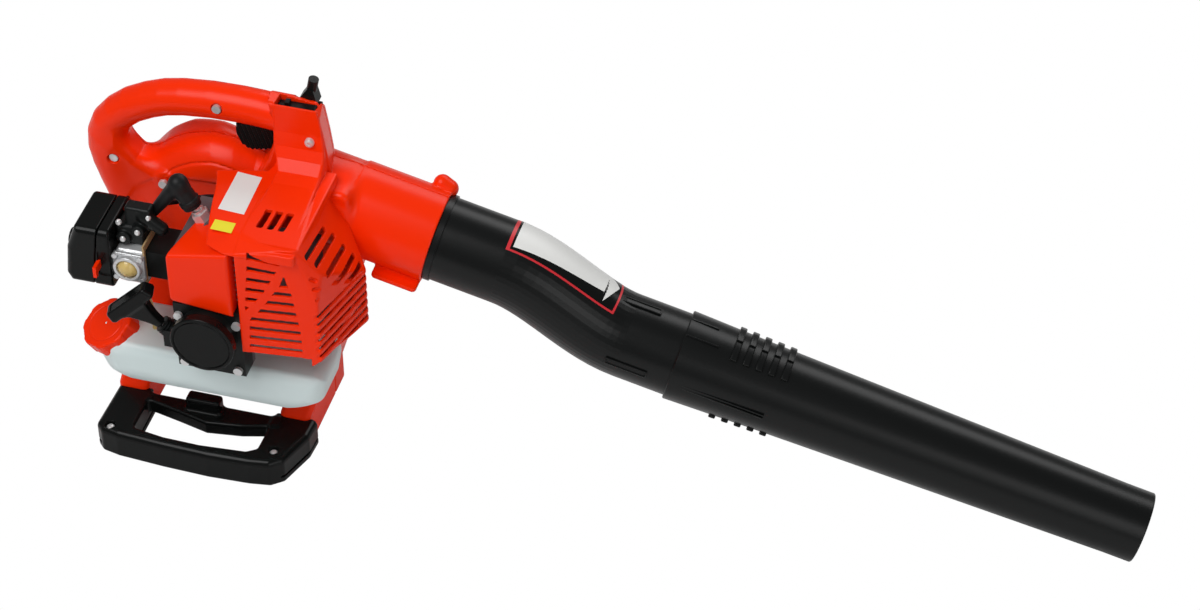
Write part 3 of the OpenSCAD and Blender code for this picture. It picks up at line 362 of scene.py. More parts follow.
def dress(obj, stands_for):
    if stands_for:
        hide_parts(*stands_for)
    return obj


def solid(name, f, low, high, h, material, body="machine", stands_for=()):
    """The body f < 0 inside a box, in cells of h mm."""
    verts, quads, normals = nets(f, low, high, h)
    return dress(finish_mesh(name, verts, quads, material, body, normals), stands_for)


def lathe(name, profile, origin, axis, material, body="machine", sides=64, sharp=30,
          stands_for=(), loop=False):
    """A round piece: profile lists (radius, distance along axis), and loop closes it on itself."""
    axis = np.asarray(axis, float)
    axis = axis / np.linalg.norm(axis)
    ref = np.array([0, 0, 1.0]) if abs(axis[2]) < 0.9 else np.array([1.0, 0, 0])
    u = np.cross(ref, axis)
    u = u / np.linalg.norm(u)
    w = np.cross(axis, u)
    a = np.linspace(0, 2 * np.pi, sides, endpoint=False)
    ring = np.cos(a)[:, None] * u + np.sin(a)[:, None] * w
    verts = np.concatenate([
        np.asarray(origin, float) + t * axis + max(r, 0.01) * ring for r, t in profile
    ])
    faces = []
    n = len(profile)
    for k in range(n - (0 if loop else 1)):
        m = (k + 1) % n
        for i in range(sides):
            j = (i + 1) % sides
            faces.append((k * sides + i, k * sides + j, m * sides + j, m * sides + i))
    obj = finish_mesh(name, verts, faces, material, body)
    by_angle(obj, sharp)
    return dress(obj, stands_for)


def by_angle(obj, degrees):
    """Shades an object smooth, apart from its edges of this angle and more."""
    bm = bmesh.new()
    bm.from_mesh(obj.data)
    limit = math.radians(degrees)
    for e in bm.edges:
        if len(e.link_faces) == 2:
            e.smooth = e.calc_face_angle(0.0) < limit
    bm.to_mesh(obj.data)
    bm.free()


def smooth_line(pts, radii, steps):
    """The points of a smooth curve through pts, steps to each stretch, with their radii."""
    t = np.linspace(0, len(pts) - 1, (len(pts) - 1) * steps + 1)
    k = np.clip(t.astype(int), 0, len(pts) - 2)
    x = (t - k)[:, None]
    p0 = pts[np.maximum(k - 1, 0)]
    p1, p2 = pts[k], pts[k + 1]
    p3 = pts[np.minimum(k + 2, len(pts) - 1)]
    line = 0.5 * (2 * p1 + (p2 - p0) * x + (2 * p0 - 5 * p1 + 4 * p2 - p3) * x ** 2
                  + (3 * p1 - p0 - 3 * p2 + p3) * x ** 3)
    return line, np.interp(t, np.arange(len(pts)), radii)


def tube(name, points, r, material, body="machine", sides=16, stands_for=(), smooth=4):
    """A round cord of radius r through points; smooth is how many steps each stretch gets."""
    pts = np.asarray(points, float)
    radii = np.full(len(pts), r, float)
    if smooth > 1:
        pts, radii = smooth_line(pts, radii, smooth)
    d = np.gradient(pts, axis=0)
    d /= np.linalg.norm(d, axis=1)[:, None]
    u = np.cross(d[0], [0.3, -0.4, 0.87])
    u /= np.linalg.norm(u)
    a = np.linspace(0, 2 * np.pi, sides, endpoint=False)
    rings = []
    for p, t, rr in zip(pts, d, radii):
        u = u - (u @ t) * t
        u /= np.linalg.norm(u)
        w = np.cross(t, u)
        rings.append(p + rr * (np.cos(a)[:, None] * u + np.sin(a)[:, None] * w))
    n = len(pts)
    verts = np.concatenate(rings + [pts[:1], pts[-1:]])
    faces = []
    for k in range(n - 1):
        for i in range(sides):
            j = (i + 1) % sides
            faces.append((k * sides + i, k * sides + j, (k + 1) * sides + j, (k + 1) * sides + i))
    first, last = n * sides, n * sides + 1
    for i in range(0, sides, 2):
        j, m = i + 1, (i + 2) % sides
        faces.append((first, m, j, i))
        faces.append((last, (n - 1) * sides + i, (n - 1) * sides + j, (n - 1) * sides + m))
    return dress(finish_mesh(name, verts, faces, material, body), stands_for)


# ---------- fan case ----------
AX = np.array([math.cos(PITCH), 0.0, -math.sin(PITCH)])
UP = np.array([math.sin(PITCH), 0.0, math.cos(PITCH)])
AXIS0 = CRANK + 73.0 * UP
CASE_WALL = 6.5
NECK_R = 39.6
COLLAR_R = 41.0
BORE_R = 35.6
SOCKET_R = 37.7
INTAKE_R = 46.0
# Where the two halves of the case meet, and half the gap between them
SPLIT_Y = 8.0
SPLIT_GAP = 0.2
# Holes for the case screws: x, z and the y of their seats
BOLTS = [(-24, 331.5, -13), (60, 316.5, -14), (-124, 257.5, -13), (-77, 243.5, -21), (84, 258.5, -44)]


def outlet(s, drop=0.0, side=0.0):
    """A point s along the pipes' axis, lowered by drop and moved aside."""
    return AXIS0 + s * AX - drop * UP + np.array([0.0, side, 0.0])


# Outer radius of the scroll by the angle round the crankshaft past 60 degrees
ROUND_AT = [0, 18, 28, 35, 40, 51, 64, 76, 84, 92, 104, 120, 140, 180, 240, 300, 345, 360]
ROUND_R = [88, 88, 90, 96, 101, 109, 114, 117, 117.5, 117, 114, 108, 102.5, 99.5, 95, 91, 88, 88]


def scroll_radius(p):
    a = np.degrees(np.arctan2(p[:, 2] - CRANK[2], p[:, 0]))
    return np.interp(np.mod(a - 60.0, 360.0), ROUND_AT, ROUND_R)


def scroll(p, inset=0.0):
    rad = np.hypot(p[:, 0], p[:, 2] - CRANK[2])
    q = (rad - scroll_radius(p)) * 0.95
    ang = np.degrees(np.arctan2(p[:, 2] - CRANK[2], p[:, 0]))
    d = rmax(q, -19.0 - p[:, 1], 32.0)
    turn = np.mod(ang - 60.0, 360.0)
    d = rmax(d, p[:, 1] - 36.0, np.interp(turn, [0, 40, 65, 300, 360], [28, 28, 12, 12, 28]))
    if inset == 0.0:
        here = np.clip((p[:, 1] + 2.0) / -6.0, 0, 1) * np.clip((ang - 70) / 6.0, 0, 1)
        groove = np.exp(-((q + 17.0) / 1.0) ** 2) * np.clip((150.0 - ang) / 6.0, 0, 1)
        line = np.interp(p[:, 0], [-104, -88, -70, -51, -25, 70], [232, 243.5, 249, 250.6, 251, 251])
        step = 2.5 / (1 + np.exp(np.clip((p[:, 2] - line) / 0.7, -30, 30)))
        d = d + here * groove + np.clip((p[:, 1] + 2.0) / -6.0, 0, 1) * step
    return d + inset


def along_outlet(p):
    v = p - AXIS0
    s = v @ AX
    u = v @ UP
    return s, u, np.hypot(u, p[:, 1])


def neck(p):
    s, u, r = along_outlet(p)
    d = rmax(r - NECK_R, np.maximum(2.0 - s, s - 140.0), 2.0)
    collar = rmax(r - COLLAR_R, np.abs(s - 111.5) - 38.5, 1.2)
    return np.minimum(d, collar)


HANDLE_R = 16.0
HANDLE_LINE = [(34, 326.5), (27, 327), (10, 328.6), (-6.5, 329.3), (-33, 329), (-59, 326.4),
               (-76, 322.8), (-91, 317), (-107, 308.5), (-120, 298), (-130, 286), (-135, 273.5),
               (-136, 260), (-133.5, 246), (-128.5, 231), (-121, 215), (-116, 204)]


def handle(p):
    d = np.full(len(p), 1e9)
    for (xa, za), (xb, zb) in zip(HANDLE_LINE, HANDLE_LINE[1:]):
        d = np.minimum(d, sd_seg(p, (xa, 0, za), (xb, 0, zb), HANDLE_R))
    return d


POST = [(23, 349.5), (64, 343.5), (68.5, 338), (71, 322), (73, 308), (75, 290), (76, 262), (58, 255),
        (8, 265), (19, 285), (26, 305), (26, 330)]
WEB = [(-122, 282), (-103, 259), (-76, 247.5), (-82, 197.5), (-96, 181.5), (-118, 189.5),
       (-131, 211.5), (-136, 245.5), (-134, 270.5)]
STRAP_LINE = [(6, 351), (-17, 349.3), (-17, 322), (-19.5, 308), (-25.5, 299.5), (-35, 293.5), (-48, 290.9),
              (-62, 290.2), (-84, 289.3), (-108, 287.6), (-122, 286), (-122, 262), (6, 262)]
# The strap's edges: how far along it (y + z), and x there
STRAP_LEFT = ([160, 188, 207, 222, 240, 258, 271, 291, 332],
              [27.5, 28, 30.8, 32.6, 33.6, 34.3, 31, 26.5, 26.5])
STRAP_RIGHT = ([165, 210, 247, 274, 298, 320, 332], [77.4, 75.2, 73.7, 73, 71.6, 69.7, 67.5])


def strap(p):
    prof = sd_poly(p[:, 1], p[:, 2], STRAP_LINE)
    w = p[:, 1] + p[:, 2]
    left = np.interp(w, *STRAP_LEFT) - p[:, 0]
    right = p[:, 0] - np.interp(w, *STRAP_RIGHT)
    right = right + np.clip(p[:, 1] + 17.0, 0, 40) * 0.2
    return rmax(rmax(prof, left, 2.2), right, 2.5)


def foot(p, x_low, x_top, top):
    """A foot whose left edge runs from x_low at the ground to x_top at the top."""
    z = p[:, 2]
    t = np.clip((z - 30.0) / (top - 40.0), 0, 1)
    x0 = x_low + (x_top - x_low) * t
    wide = 29.0 + 2.0 * t
    y0 = -61.7 + 44.7 * t
    d = rmax(x0 - p[:, 0], y0 - p[:, 1], 6.0)
    d = rmax(d, p[:, 0] - x0 - wide, 6.0)
    d = rmax(d, p[:, 1] - 36.0, 6.0)
    d = rmax(d * 0.93, z - top, 5.0)
    return rmax(d, 0.3 - z, 2.0)


def handle_and_post(p, body):
    x, y, z = p.T
    web = rmax(sd_poly(x, z, WEB), np.abs(y + 0.5) - 15.5, 9.0)
    body = smin(body, smin(handle(p), web, 12.0), 14.0)
    post = rmax(sd_poly(x + 0.2 * (y + 17.0), z, POST), np.abs(y) - 16.6, 4.0)
    post = rmax(post, (y - 3.0) * 0.72 + (z - 348.0) * 0.69, 3.0)
    return np.minimum(body, post)


def lugs_and_feet(p, body):
    x, y, z = p.T
    wall = rmax(np.abs(x - 82) - 16, np.abs(z - 258) - 21, 8.0)
    wall = rmax(wall, rmax(-37.0 - y, y - 10, 3.0), 5.0)
    body = smin(body, wall, 7.0)
    body = smin(body, sd_rod(p, (84, -38, 258.5), (84, -5, 258.5), 10.0, 2.0), 4.0)
    body = smin(body, sd_rod(p, (-77, -17.5, 243.5), (-77, 0, 243.5), 8.5, 1.5), 4.0)
    body = smin(body, foot(p, -125.0, -106.0, 135.5), 5.0)
    body = smin(body, foot(p, 28.0, 52.0, 123.5), 5.0)
    lug = sd_seg(p, outlet(139, -36, 26), outlet(146, -34, 25), 8.0)
    body = smin(body, lug, 3.0)
    s, u, _ = along_outlet(p)
    tab = rmax(rmax(np.abs(s - 129) - 20.5, np.abs(y + 33) - 9.0, 4.0), np.abs(u + 31.5) - 2.0, 1.0)
    return smin(body, tab, 2.0)


def openings(p, body):
    """The air's way, the hole for the intake guard, the switch's and trigger's slots and the screws."""
    s, _, r = along_outlet(p)
    bore = np.minimum(rmax(r - BORE_R, 10.0 - s, 1.0), np.maximum(r - SOCKET_R, 62.0 - s))
    hollow = smin(scroll(p, CASE_WALL), bore, 3.0)
    body = np.maximum(body, -hollow)
    body = np.maximum(body, -sd_rod(p, (0, 30, CRANK[2]), (0, 40, CRANK[2]), INTAKE_R, 0.3))
    body = np.maximum(body, -sd_box(p, (28.5, -14, 335.5), (62, 0.5, 360), 1.0))
    body = np.maximum(body, -sd_box(p, (40, 3.5, 326), (62, 14.5, 360), 1.0))
    body = np.maximum(body, -sd_box(p, (-16, -6.8, 288), (34, 6.8, 329), 1.0))
    for bx, bz, seat in BOLTS:
        body = np.maximum(body, -sd_rod(p, (bx, seat - 16, bz), (bx, seat + 0.2, bz), 5.0, 0.3))
    return body


def case(p):
    body = smin(scroll(p), neck(p), 9.0)
    return openings(p, lugs_and_feet(p, handle_and_post(p, body)))


def near_case(p):
    return rmax(case(p), p[:, 1] - (SPLIT_Y - SPLIT_GAP), 0.5)


def far_case(p):
    return rmax(case(p), (SPLIT_Y + SPLIT_GAP) - p[:, 1], 0.5)


solid("case_near", near_case, (-156, -66, -1), (176, 10, 356), 1.3, ORANGE,
      stands_for=("fan_case_near",))
solid("case_far", far_case, (-156, 6, -1), (176, 46, 356), 1.6, ORANGE,
      stands_for=("fan_case_far",))

# ---------- engine covers ----------
# Planes of the hood: the face toward the starter, the slanted side with slots and the low front
FACE_AT = np.array([31.0, -134.0, 164.0])
FACE_N = np.array([math.sin(math.radians(6)), -math.cos(math.radians(6)), 0.0])
FACE_U = np.array([math.cos(math.radians(6)), math.sin(math.radians(6)), 0.0])
SIDE_AT = np.array([80.45, -128.8, 293.9])
SIDE_N = np.array([0.8210, 0.1094, 0.5603])
SIDE_U = np.array([-0.0693, 0.9933, -0.0924])
SIDE_V = np.array([-0.5667, 0.0370, 0.8231])
LOW_N = np.array([0.6566, -0.7306, 0.1872])


def through(a, b, c, outer):
    """The normal of the plane through three points, toward the outer point."""
    n = np.cross(np.subtract(b, a), np.subtract(c, a))
    n = n / np.linalg.norm(n)
    return n if n @ (np.asarray(outer, float) - a) > 0 else -n


R_TOP = (98.6, -126.9, 237.7)
R_LOW = (98.7, -126.9, 181.5)
FRONT_N = through(R_TOP, R_LOW, (110.2, -90, 191.3), (200, -150, 200))
BEVEL_N = through((31, -134, 281), (31.6, -117, 288.4), (80, -128.7, 293), (40, -200, 400))


def hood_body(p, inset=0.0):
    x, y, z = p.T
    d = rmax(sd_plane(p, FACE_AT, FACE_N), 30.0 - x, 1.6)
    d = rmax(d, sd_plane(p, (31, -134, 281), BEVEL_N), 1.2)
    d = rmax(d, sd_plane(p, SIDE_AT, SIDE_N), 1.2)
    d = rmax(d, sd_plane(p, R_TOP, LOW_N), 1.4)
    d = rmax(d, sd_plane(p, R_TOP, FRONT_N), 1.4)
    d = rmax(d, x - 119.5, 1.5)
    d = rmax(d, y + 19.5, 2.0)
    top = np.interp(y, [-134, -122, -60, -44, -20], [294, 288.6, 288.6, 282, 262])
    d = rmax(d, z - top, 1.5)
    tail = np.interp(x, [30, 86, 98, 120], [163.5, 162.5, 162, 132])
    tail = np.where(x < 98, tail, np.interp(y, [-115, -60], [162.0, 135.0]))
    d = rmax(d, (tail - z) * 0.85, 1.4)
    d = rmax(d, sd_plane(p, (92, -127, 165), (0.5, -0.2, -0.6)), 1.2)
    right = (x - 119.5) + np.clip(y + 60.0, -40, 40) * 0.9
    d = rmax(d, right * 0.74, 3.0)
    return d + inset


# Slots as outlines (x, z) on the face, as lines on the slanted side and on the low front
FACE_SLOTS = [
    [(11, 284), (10.6, 277.4), (37.7, 274.7), (37.7, 276)],
    [(10, 269.4), (9.7, 264.9), (31.8, 262.8), (34.6, 266.3)],
    [(8.6, 256.9), (8.3, 252.6), (26.7, 251.9), (28.8, 255.7)],
    [(7.6, 245.7), (7.2, 241.5), (21.2, 241.3), (23.2, 244.8)],
    [(6.6, 234.8), (6.4, 230.6), (14.1, 230.7), (16.4, 234.2)],
    [(5.6, 224.3), (5.4, 220.3), (8.6, 223.4)],
    [(40.7, 262), (36.6, 250.8), (43.1, 250.8)],
    [(32.4, 244.3), (29.7, 240.2), (46, 240.2), (45.6, 244.3)],
    [(25.8, 233.4), (23.2, 229.5), (47.2, 229.5), (47.2, 233.4)],
    [(18.6, 222.9), (16.1, 219), (48.8, 219), (48.6, 222.9)],
    [(10.4, 212.5), (8.4, 208.7), (50.2, 208.7), (49.8, 212.5)],
    [(7.9, 202), (7.9, 198.2), (51.2, 198.2), (51.2, 202)],
    [(7.2, 191.8), (7.2, 188.2), (51.4, 188.2), (51.4, 191.8)],
    [(6.7, 181.6), (6.7, 178.3), (51.4, 178.3), (51.4, 181.6)],
    [(6.2, 172.2), (6.2, 169.4), (50.9, 169.4), (50.9, 172.2)],
]
SIDE_SLOTS = [((56.6, -20.8), (10.3, -16.8)), ((62.6, -32.4), (15, -28.8)), ((65.2, -46.8), (21.3, -43.4)),
              ((68.6, -59.5), (24.4, -57.5)), ((68.9, -69.5), (18.6, -68.2))]
HOOD_WALL = 2.8
DECK_WALL = 2.6
# The deck's left edge: y, and x there
DECK_Y = [-134, -120, -79, -66, -54, -40, -28, -18]
DECK_LEFT = [2, 1.9, -7.6, -10, -13, -18, -24, -28]
LOW_SLOTS = [((93.9, -125, 261), (97, -122.9, 258)), ((96.3, -125.6, 250.8), (105.0, -118.8, 247)),
             ((99, -126.2, 239.8), (108.8, -117.9, 236.6)), ((101, -126.1, 232), (111.4, -118, 227.4))]


def deck_plate(p):
    x, y, z = p.T
    wedge = rmax(sd_plane(p, (31, -134, 281), BEVEL_N), z - 288.2, 1.2)
    left = np.interp(y, DECK_Y, DECK_LEFT)
    plate = rmax(rmax(x - 83, np.abs(y + 76) - 58, 3.0), (left - x) * 0.8, 1.5)
    rear = np.interp(x, [-30, 0, 25, 30], [-44, -36, -30, -18])
    plate = rmax(rmax(plate, wedge, 1.5), (y - rear) * 0.8, 2.0)
    return rmax(plate, 278.5 - z, 1.0)


def deck_and_strap(p, plate):
    """The deck with its strap, blended into the scroll beside it."""
    y, z = p[:, 1], p[:, 2]
    deck = np.maximum(plate, -np.maximum(plate + DECK_WALL, z - 285.4))
    deck = np.minimum(deck, rmax(rmax(strap(p), 268.0 - z, 1.0), y + 15.5, 0.3))
    round_case = scroll(p) + 0.35
    joined = np.maximum(smin(deck, round_case, 13.0), deck - 11.0)
    return np.minimum(deck, np.maximum(joined, -3.0 - round_case))


def hood_slots(p, hull):
    x, y, z = p.T
    v = p - FACE_AT
    along = v @ FACE_U
    depth = np.abs(v @ FACE_N) - 6.0
    for points in FACE_SLOTS:
        hull = np.maximum(hull, -rmax(sd_poly(along, z, points) - 0.25, depth, 0.2))
    v = p - SIDE_AT
    q = np.stack([v @ SIDE_U, v @ SIDE_V, 0 * x], 1)
    depth = np.abs(v @ SIDE_N) - 7.0
    for (a0, b0), (a1, b1) in SIDE_SLOTS:
        hull = np.maximum(hull, -rmax(sd_seg(q, (a0, b0, 0), (a1, b1, 0), 2.6), depth, 0.2))
    depth = np.abs(sd_plane(p, R_TOP, LOW_N)) - 5.0
    for a, b in LOW_SLOTS:
        hull = np.maximum(hull, -rmax(sd_seg(p, a, b, 1.9), depth, 0.2))
    for cx in (43.0, 52.5, 62.0):
        vent = rmax(np.abs(x - cx - (y + 92) * 0.06) - 2.9, np.abs(y + 92) - 11.5, 1.4)
        hull = np.maximum(hull, -rmax(vent, np.abs(z - 288) - 14.0, 0.2))
    return hull


def slat_depth(p):
    """How far the slats on the lower half of the front are sunk."""
    x, z = p[:, 0], p[:, 2]
    front = sd_plane(p, R_TOP, FRONT_N)
    wave = np.mod(z - 226.0 - 0.25 * (x - 100), 9.0) / 9.0
    zone = np.clip((226.0 - z) / 3.0, 0, 1) * np.clip((front + 4.0) / 2.0, 0, 1)
    return zone * 1.3 * (1.0 - np.clip(np.abs(wave - 0.5) * 5.0 - 0.6, 0, 1))


def hood(p):
    x, z = p[:, 0], p[:, 2]
    plate = deck_plate(p)
    hull = smin(hood_body(p), deck_and_strap(p, plate), 1.2)
    inside = np.maximum(np.maximum(hood_body(p, HOOD_WALL), z - 283.0), 32.8 - x)
    hull = np.maximum(hull, -inside)
    hull = np.maximum(hull, -np.maximum(plate + DECK_WALL, z - 285.4))
    hull = np.maximum(hull, -rmax(np.abs(x - 30) - 60, np.abs(z - 160) - 12, 0.3))
    return hood_slots(p, hull) + slat_depth(p)


solid("engine_hood", hood, (-64, -139, 128), (124, -12, 354), 0.85, ORANGE,
      stands_for=("engine_cover",))


BOX_FACE = [(-33, 217.5), (-33, 263), (-30, 266.5), (24, 277.5), (24, 208.5), (-29, 214.5)]


def cylinder_box(p):
    x, y, z = p.T
    face = sd_poly(x, z, BOX_FACE)
    d = rmax(face, -134.0 - y, 3.5)
    d = rmax(d, y + 80.0, 1.0)
    d = rmax(d, (-33.0 + (y + 134.0) * 0.25) - x, 3.0)
    return np.maximum(d, -np.maximum(d + 2.5, -131.5 - y))


solid("cylinder_box", cylinder_box, (-37, -138, 204), (28, -76, 284), 0.8, ORANGE,
      stands_for=("cylinder_cover",))

# ---------- tank and cap ----------
TANK_SIDE = [(-100, 122), (-100, 98), (-90, 84), (54, 84), (76, 104), (79, 122)]
CAP_R = 24.4
CAP_LOBES = 8
CAP_SEAT = np.array([-112.0, -92.0, 133.0])
CAP_AXIS = np.array([-0.35355, -0.35355, 0.86603])
CAP_U = np.array([0.70711, -0.70711, 0.0])
CAP_V = np.cross(CAP_AXIS, CAP_U)


def tank(p):
    x, y, z = p.T
    side = sd_poly(x, z, TANK_SIDE) - 12.0
    across = rmax(rmax(-112.0 - y, 72.0 - z, 34.0), rmax(y + 46.0, z - 134.0, 8.0), 8.0)
    d = rmax(side, across, 16.0)
    d = smin(d, sd_seg(p, CAP_SEAT - 30 * CAP_AXIS, CAP_SEAT - 17 * CAP_AXIS, 20.0), 14.0)
    return d


solid("tank_shell", tank, (-142, -124, 68), (98, -40, 142), 1.6, TANK,
      stands_for=("fuel_tank",))


def cap(p):
    v = p - CAP_SEAT
    t, u, w = v @ CAP_AXIS, v @ CAP_U, v @ CAP_V
    turn = np.arctan2(w, u)
    r = np.hypot(u, w)
    wave = np.tanh(3.0 * np.cos(CAP_LOBES * turn))
    lobe = CAP_R + 0.55 * wave * np.clip(r / 12.0 - 1.0, 0, 1)
    d = rmax((r - lobe) * 0.93, np.abs(t + 5.5) - 8.5, 2.0)
    ring = np.exp(-((r - 17.5) / 0.8) ** 2) * np.clip(t, 0, 1)
    return d + 0.5 * ring


solid("cap_shell", cap, (-146, -126, 104), (-78, -60, 160), 1.0, ORANGE, body="cap",
      stands_for=("fuel_cap",))
lathe("cap_seal", [(12, -6), (14.5, -6), (14.5, -4), (12, -4)], CAP_SEAT, CAP_AXIS, RUBBER,
      body="cap_lift_body", stands_for=("cap_gasket",), loop=True)

# ---------- stand ----------
STAND_OUT = [(-119, -60), (-120.5, -108), (-116.5, -112), (-103, -115), (-60, -118), (-18, -119.5),
             (20, -118), (37, -115.5), (45, -109), (56, -77), (57, -60)]
STAND_IN = [(-88, -40), (-88, -105), (-62, -109), (-28, -110), (13, -107), (19, -103), (21, -40)]
STAND_SCREWS = [(-113, -111), (38, -104)]
# The crossbar's front edge: x, and y there
BAR_X = [-95, -60, -32, 0, 30]
BAR_FRONT = [-72, -80, -87, -83, -75]


def stand(p):
    x, y, z = p.T
    plan = sd_poly(x, y, STAND_OUT) - 6.0
    d = rmax(rmax(plan, z - 29.0, 6.0), 0.2 - z, 3.0)
    d = rmax(d, y + 57.0, 1.0)
    d = rmax(d, -(sd_poly(x, y, STAND_IN) - 4.0), 2.5)
    front = np.interp(x, BAR_X, BAR_FRONT)
    bar = rmax(rmax(front - y, y + 62.4, 2.5), np.abs(z - 22.0) - 7.2, 2.5)
    bar = rmax(bar, np.abs(x + 30) - 62, 2.0)
    d = smin(d, bar, 5.0)
    d = smin(d, sd_box(p, (-55, -75.5, 18), (-23, -62.4, 42.5), 3.0), 4.0)
    groove = rmax(np.abs(z - 8.0) - 1.0, -115.0 - y + 0.9, 0.2)
    d = np.maximum(d, -groove)
    for cx, cy in STAND_SCREWS:
        d = np.maximum(d, -sd_rod(p, (cx, cy, 24.5), (cx, cy, 34), 4.6, 0.4))
    return d


solid("stand_frame", stand, (-130, -128, -1), (68, -52, 46), 1.1, BLACK_GLOSS,
      stands_for=("stand_loop",))
STAND_HEAD = [(0, 3), (2.6, 2.6), (3.9, 1.2), (4.0, 0), (0, 0)]
for k, (cx, cy) in enumerate(STAND_SCREWS):
    lathe(f"stand_screw_{k}", STAND_HEAD, (cx, cy, 24.3), (0, 0, 1), STEEL, sides=24)

# ---------- recoil starter ----------


def starter_face(p):
    x, y, z = p.T
    r = np.hypot(x, z - CRANK[2])
    d = rmax(r - 28.4, np.abs(y + 145.3) - 4.5, 1.4)
    d = np.maximum(d, -rmax(r - 25.6, y + 148.6, 0.6))
    return np.minimum(d, rmax(r - 24.8, np.abs(y + 146.5) - 3.0, 1.0))


solid("starter_face", starter_face, (-31, -152, 154), (31, -139, 217), 0.8, BLACK_GLOSS,
      stands_for=("starter_disc",))

# The line that the rope is pulled along: its turn and lean, and the grip's twist on it
TURN = np.radians(18.0)
LEAN = np.radians(-44.0)
TWIST = np.radians(-8.0)


def rot_z(a):
    return np.array([[np.cos(a), -np.sin(a), 0], [np.sin(a), np.cos(a), 0], [0, 0, 1.0]])


def rot_y(a):
    return np.array([[np.cos(a), 0, np.sin(a)], [0, 1.0, 0], [-np.sin(a), 0, np.cos(a)]])


ROPE_ROT = rot_z(TURN) @ rot_y(LEAN) @ rot_z(TWIST)
ROPE_AT = np.array([-42.0, -124.0, 175.5])
GUIDE_PITCH = 2.6


def grip(p):
    x, y, z = ((p - ROPE_AT) @ ROPE_ROT).T
    off = np.abs(z - 38)
    bar = rmax(np.abs(x) - 26.0 + 0.25 * off, np.abs(y) - 7.6 + 0.12 * off, 3.0)
    bar = rmax(bar, np.abs(z - 40.5) - 6.0, 2.2)
    t = np.clip((z - 6.0) / 28.0, 0, 1)
    wide = 4.4 + 9.0 * t ** 1.6
    stem = rmax(np.abs(x) - wide, np.abs(y) - 4.4 - 1.8 * t, 3.0) * 0.9
    d = smin(bar, rmax(stem, np.abs(z - 21.0) - 15.6, 1.5), 4.0)
    face = rmax(rmax(np.abs(x) - 19, np.abs(y) - 4.5, 2.0), 45.8 - z, 0.3)
    d = np.maximum(d, -face)
    q = np.stack([x, y, z], 1)
    return np.maximum(d, -sd_rod(q, (0, 0, -1), (0, 0, 34), 1.9, 0.2))


solid("grip_shell", grip, (-112, -150, 172), (-28, -108, 238), 0.8, BLACK_GLOSS, body="pull_grip",
      stands_for=("starter_grip",))


def guide(p):
    x, y, z = ((p - ROPE_AT) @ ROPE_ROT).T
    r = np.hypot(x, y)
    ribbed = r - 7.0 + 0.9 * np.cos(2 * np.pi * z / GUIDE_PITCH) - 0.10 * (4 - z)
    d = rmax(ribbed, np.abs(z + 3.0) - 7.5, 1.0)
    return np.maximum(d * 0.85, -(r - 2.4))


solid("guide_ribs", guide, (-56, -136, 158), (-28, -112, 190), 0.7, BLACK)

# ---------- air cleaner ----------
AIR_GAP = 1.2
AIR_SIDE = [(-84, 207), (-125, 207), (-128, 213), (-125, 241), (-117, 263), (-84, 263)]


def air_shape(p):
    x, y, z = p.T
    return rmax(sd_poly(x, z, AIR_SIDE) - 3.0, np.abs(y + 94.0) - 27.0, 6.0)


def air_split(p):
    """How far a point lies right of the joint between the cleaner's cover and its case."""
    return p[:, 0] + 106.0 - (p[:, 2] - 205.0) * 0.12


def air_left(p):
    return rmax(air_shape(p), air_split(p), 1.0)


def air_right(p):
    x, y, z = p.T
    d = rmax(air_shape(p), AIR_GAP - air_split(p), 0.8)
    d = rmax(d, x + 88.0, 2.0)
    recess = rmax(np.abs(x + 94.5) - 5.0, np.abs(z - 231) - 13, 2.0)
    return np.maximum(d, -rmax(recess, y + 119.5, 0.4))


solid("air_case", air_right, (-110, -124, 200), (-84, -64, 270), 0.8, BLACK_GLOSS,
      stands_for=("air_box",))
solid("air_lid", air_left, (-134, -124, 200), (-94, -64, 270), 0.8, BLACK_GLOSS,
      stands_for=("air_cover",))

# ---------- carburettor ----------


def carb(p):
    x, y, z = p.T
    d = sd_box(p, (-86, -113, 208), (-60, -84, 244), 3.0)
    d = smin(d, sd_rod(p, (-74, -121, 229), (-74, -110, 229), 12.5, 1.0), 2.0)
    plate = rmax(np.abs(x + 74) - 14.5, np.abs(z - 228) - 14.5, 4.0)
    d = np.minimum(d, rmax(plate, np.abs(y + 114.5) - 1.6, 0.6))
    for sx in (-74 - 11.5, -74 + 11.5):
        for sz in (228 - 11.5, 228 + 11.5):
            d = np.minimum(d, sd_rod(p, (sx, -118.5, sz), (sx, -112, sz), 2.6, 0.5))
    d = smin(d, sd_rod(p, (-74, -94, 200), (-74, -94, 212), 8.0, 1.0), 2.0)
    d = smin(d, sd_box(p, (-88, -108, 212), (-58, -88, 240), 2.0), 2.0)
    return np.maximum(d, -sd_seg(p, (-74, -124, 229), (-74, -119, 229), 9.4))


def bracket(p):
    x, y, z = p.T
    d = sd_box(p, (-88, -104, 243), (-62, -80, 262), 3.0)
    d = smin(d, sd_box(p, (-80, -101, 258), (-56, -88, 281), 3.0), 3.0)
    d = smin(d, sd_seg(p, (-62, -98, 272), (-48, -98, 262), 6.0), 3.0)
    d = smin(d, sd_rod(p, (-80, -108, 252), (-80, -98, 252), 6.5, 1.0), 2.0)
    d = smin(d, sd_rod(p, (-66, -108, 262), (-66, -98, 262), 5.5, 1.0), 2.0)
    return d


solid("carb_body", carb, (-92, -124, 198), (-55, -80, 250), 0.7, SILVER,
      stands_for=("carburettor",))
solid("carb_bracket", bracket, (-92, -112, 240), (-38, -76, 286), 0.8, BLACK)
CARB_HEAD = [(0, 2.2), (1.8, 2.0), (2.6, 1.0), (2.7, -1), (0, -1)]
CARB_SCREWS = [(-80, -108, 252), (-66, -108, 262), (-84, -104, 266), (-58, -101, 274)]
for k, at in enumerate(CARB_SCREWS):
    lathe(f"carb_screw_{k}", CARB_HEAD, at, (0, -1, 0.2), STEEL, sides=16)

# ---------- spark plug boot ----------


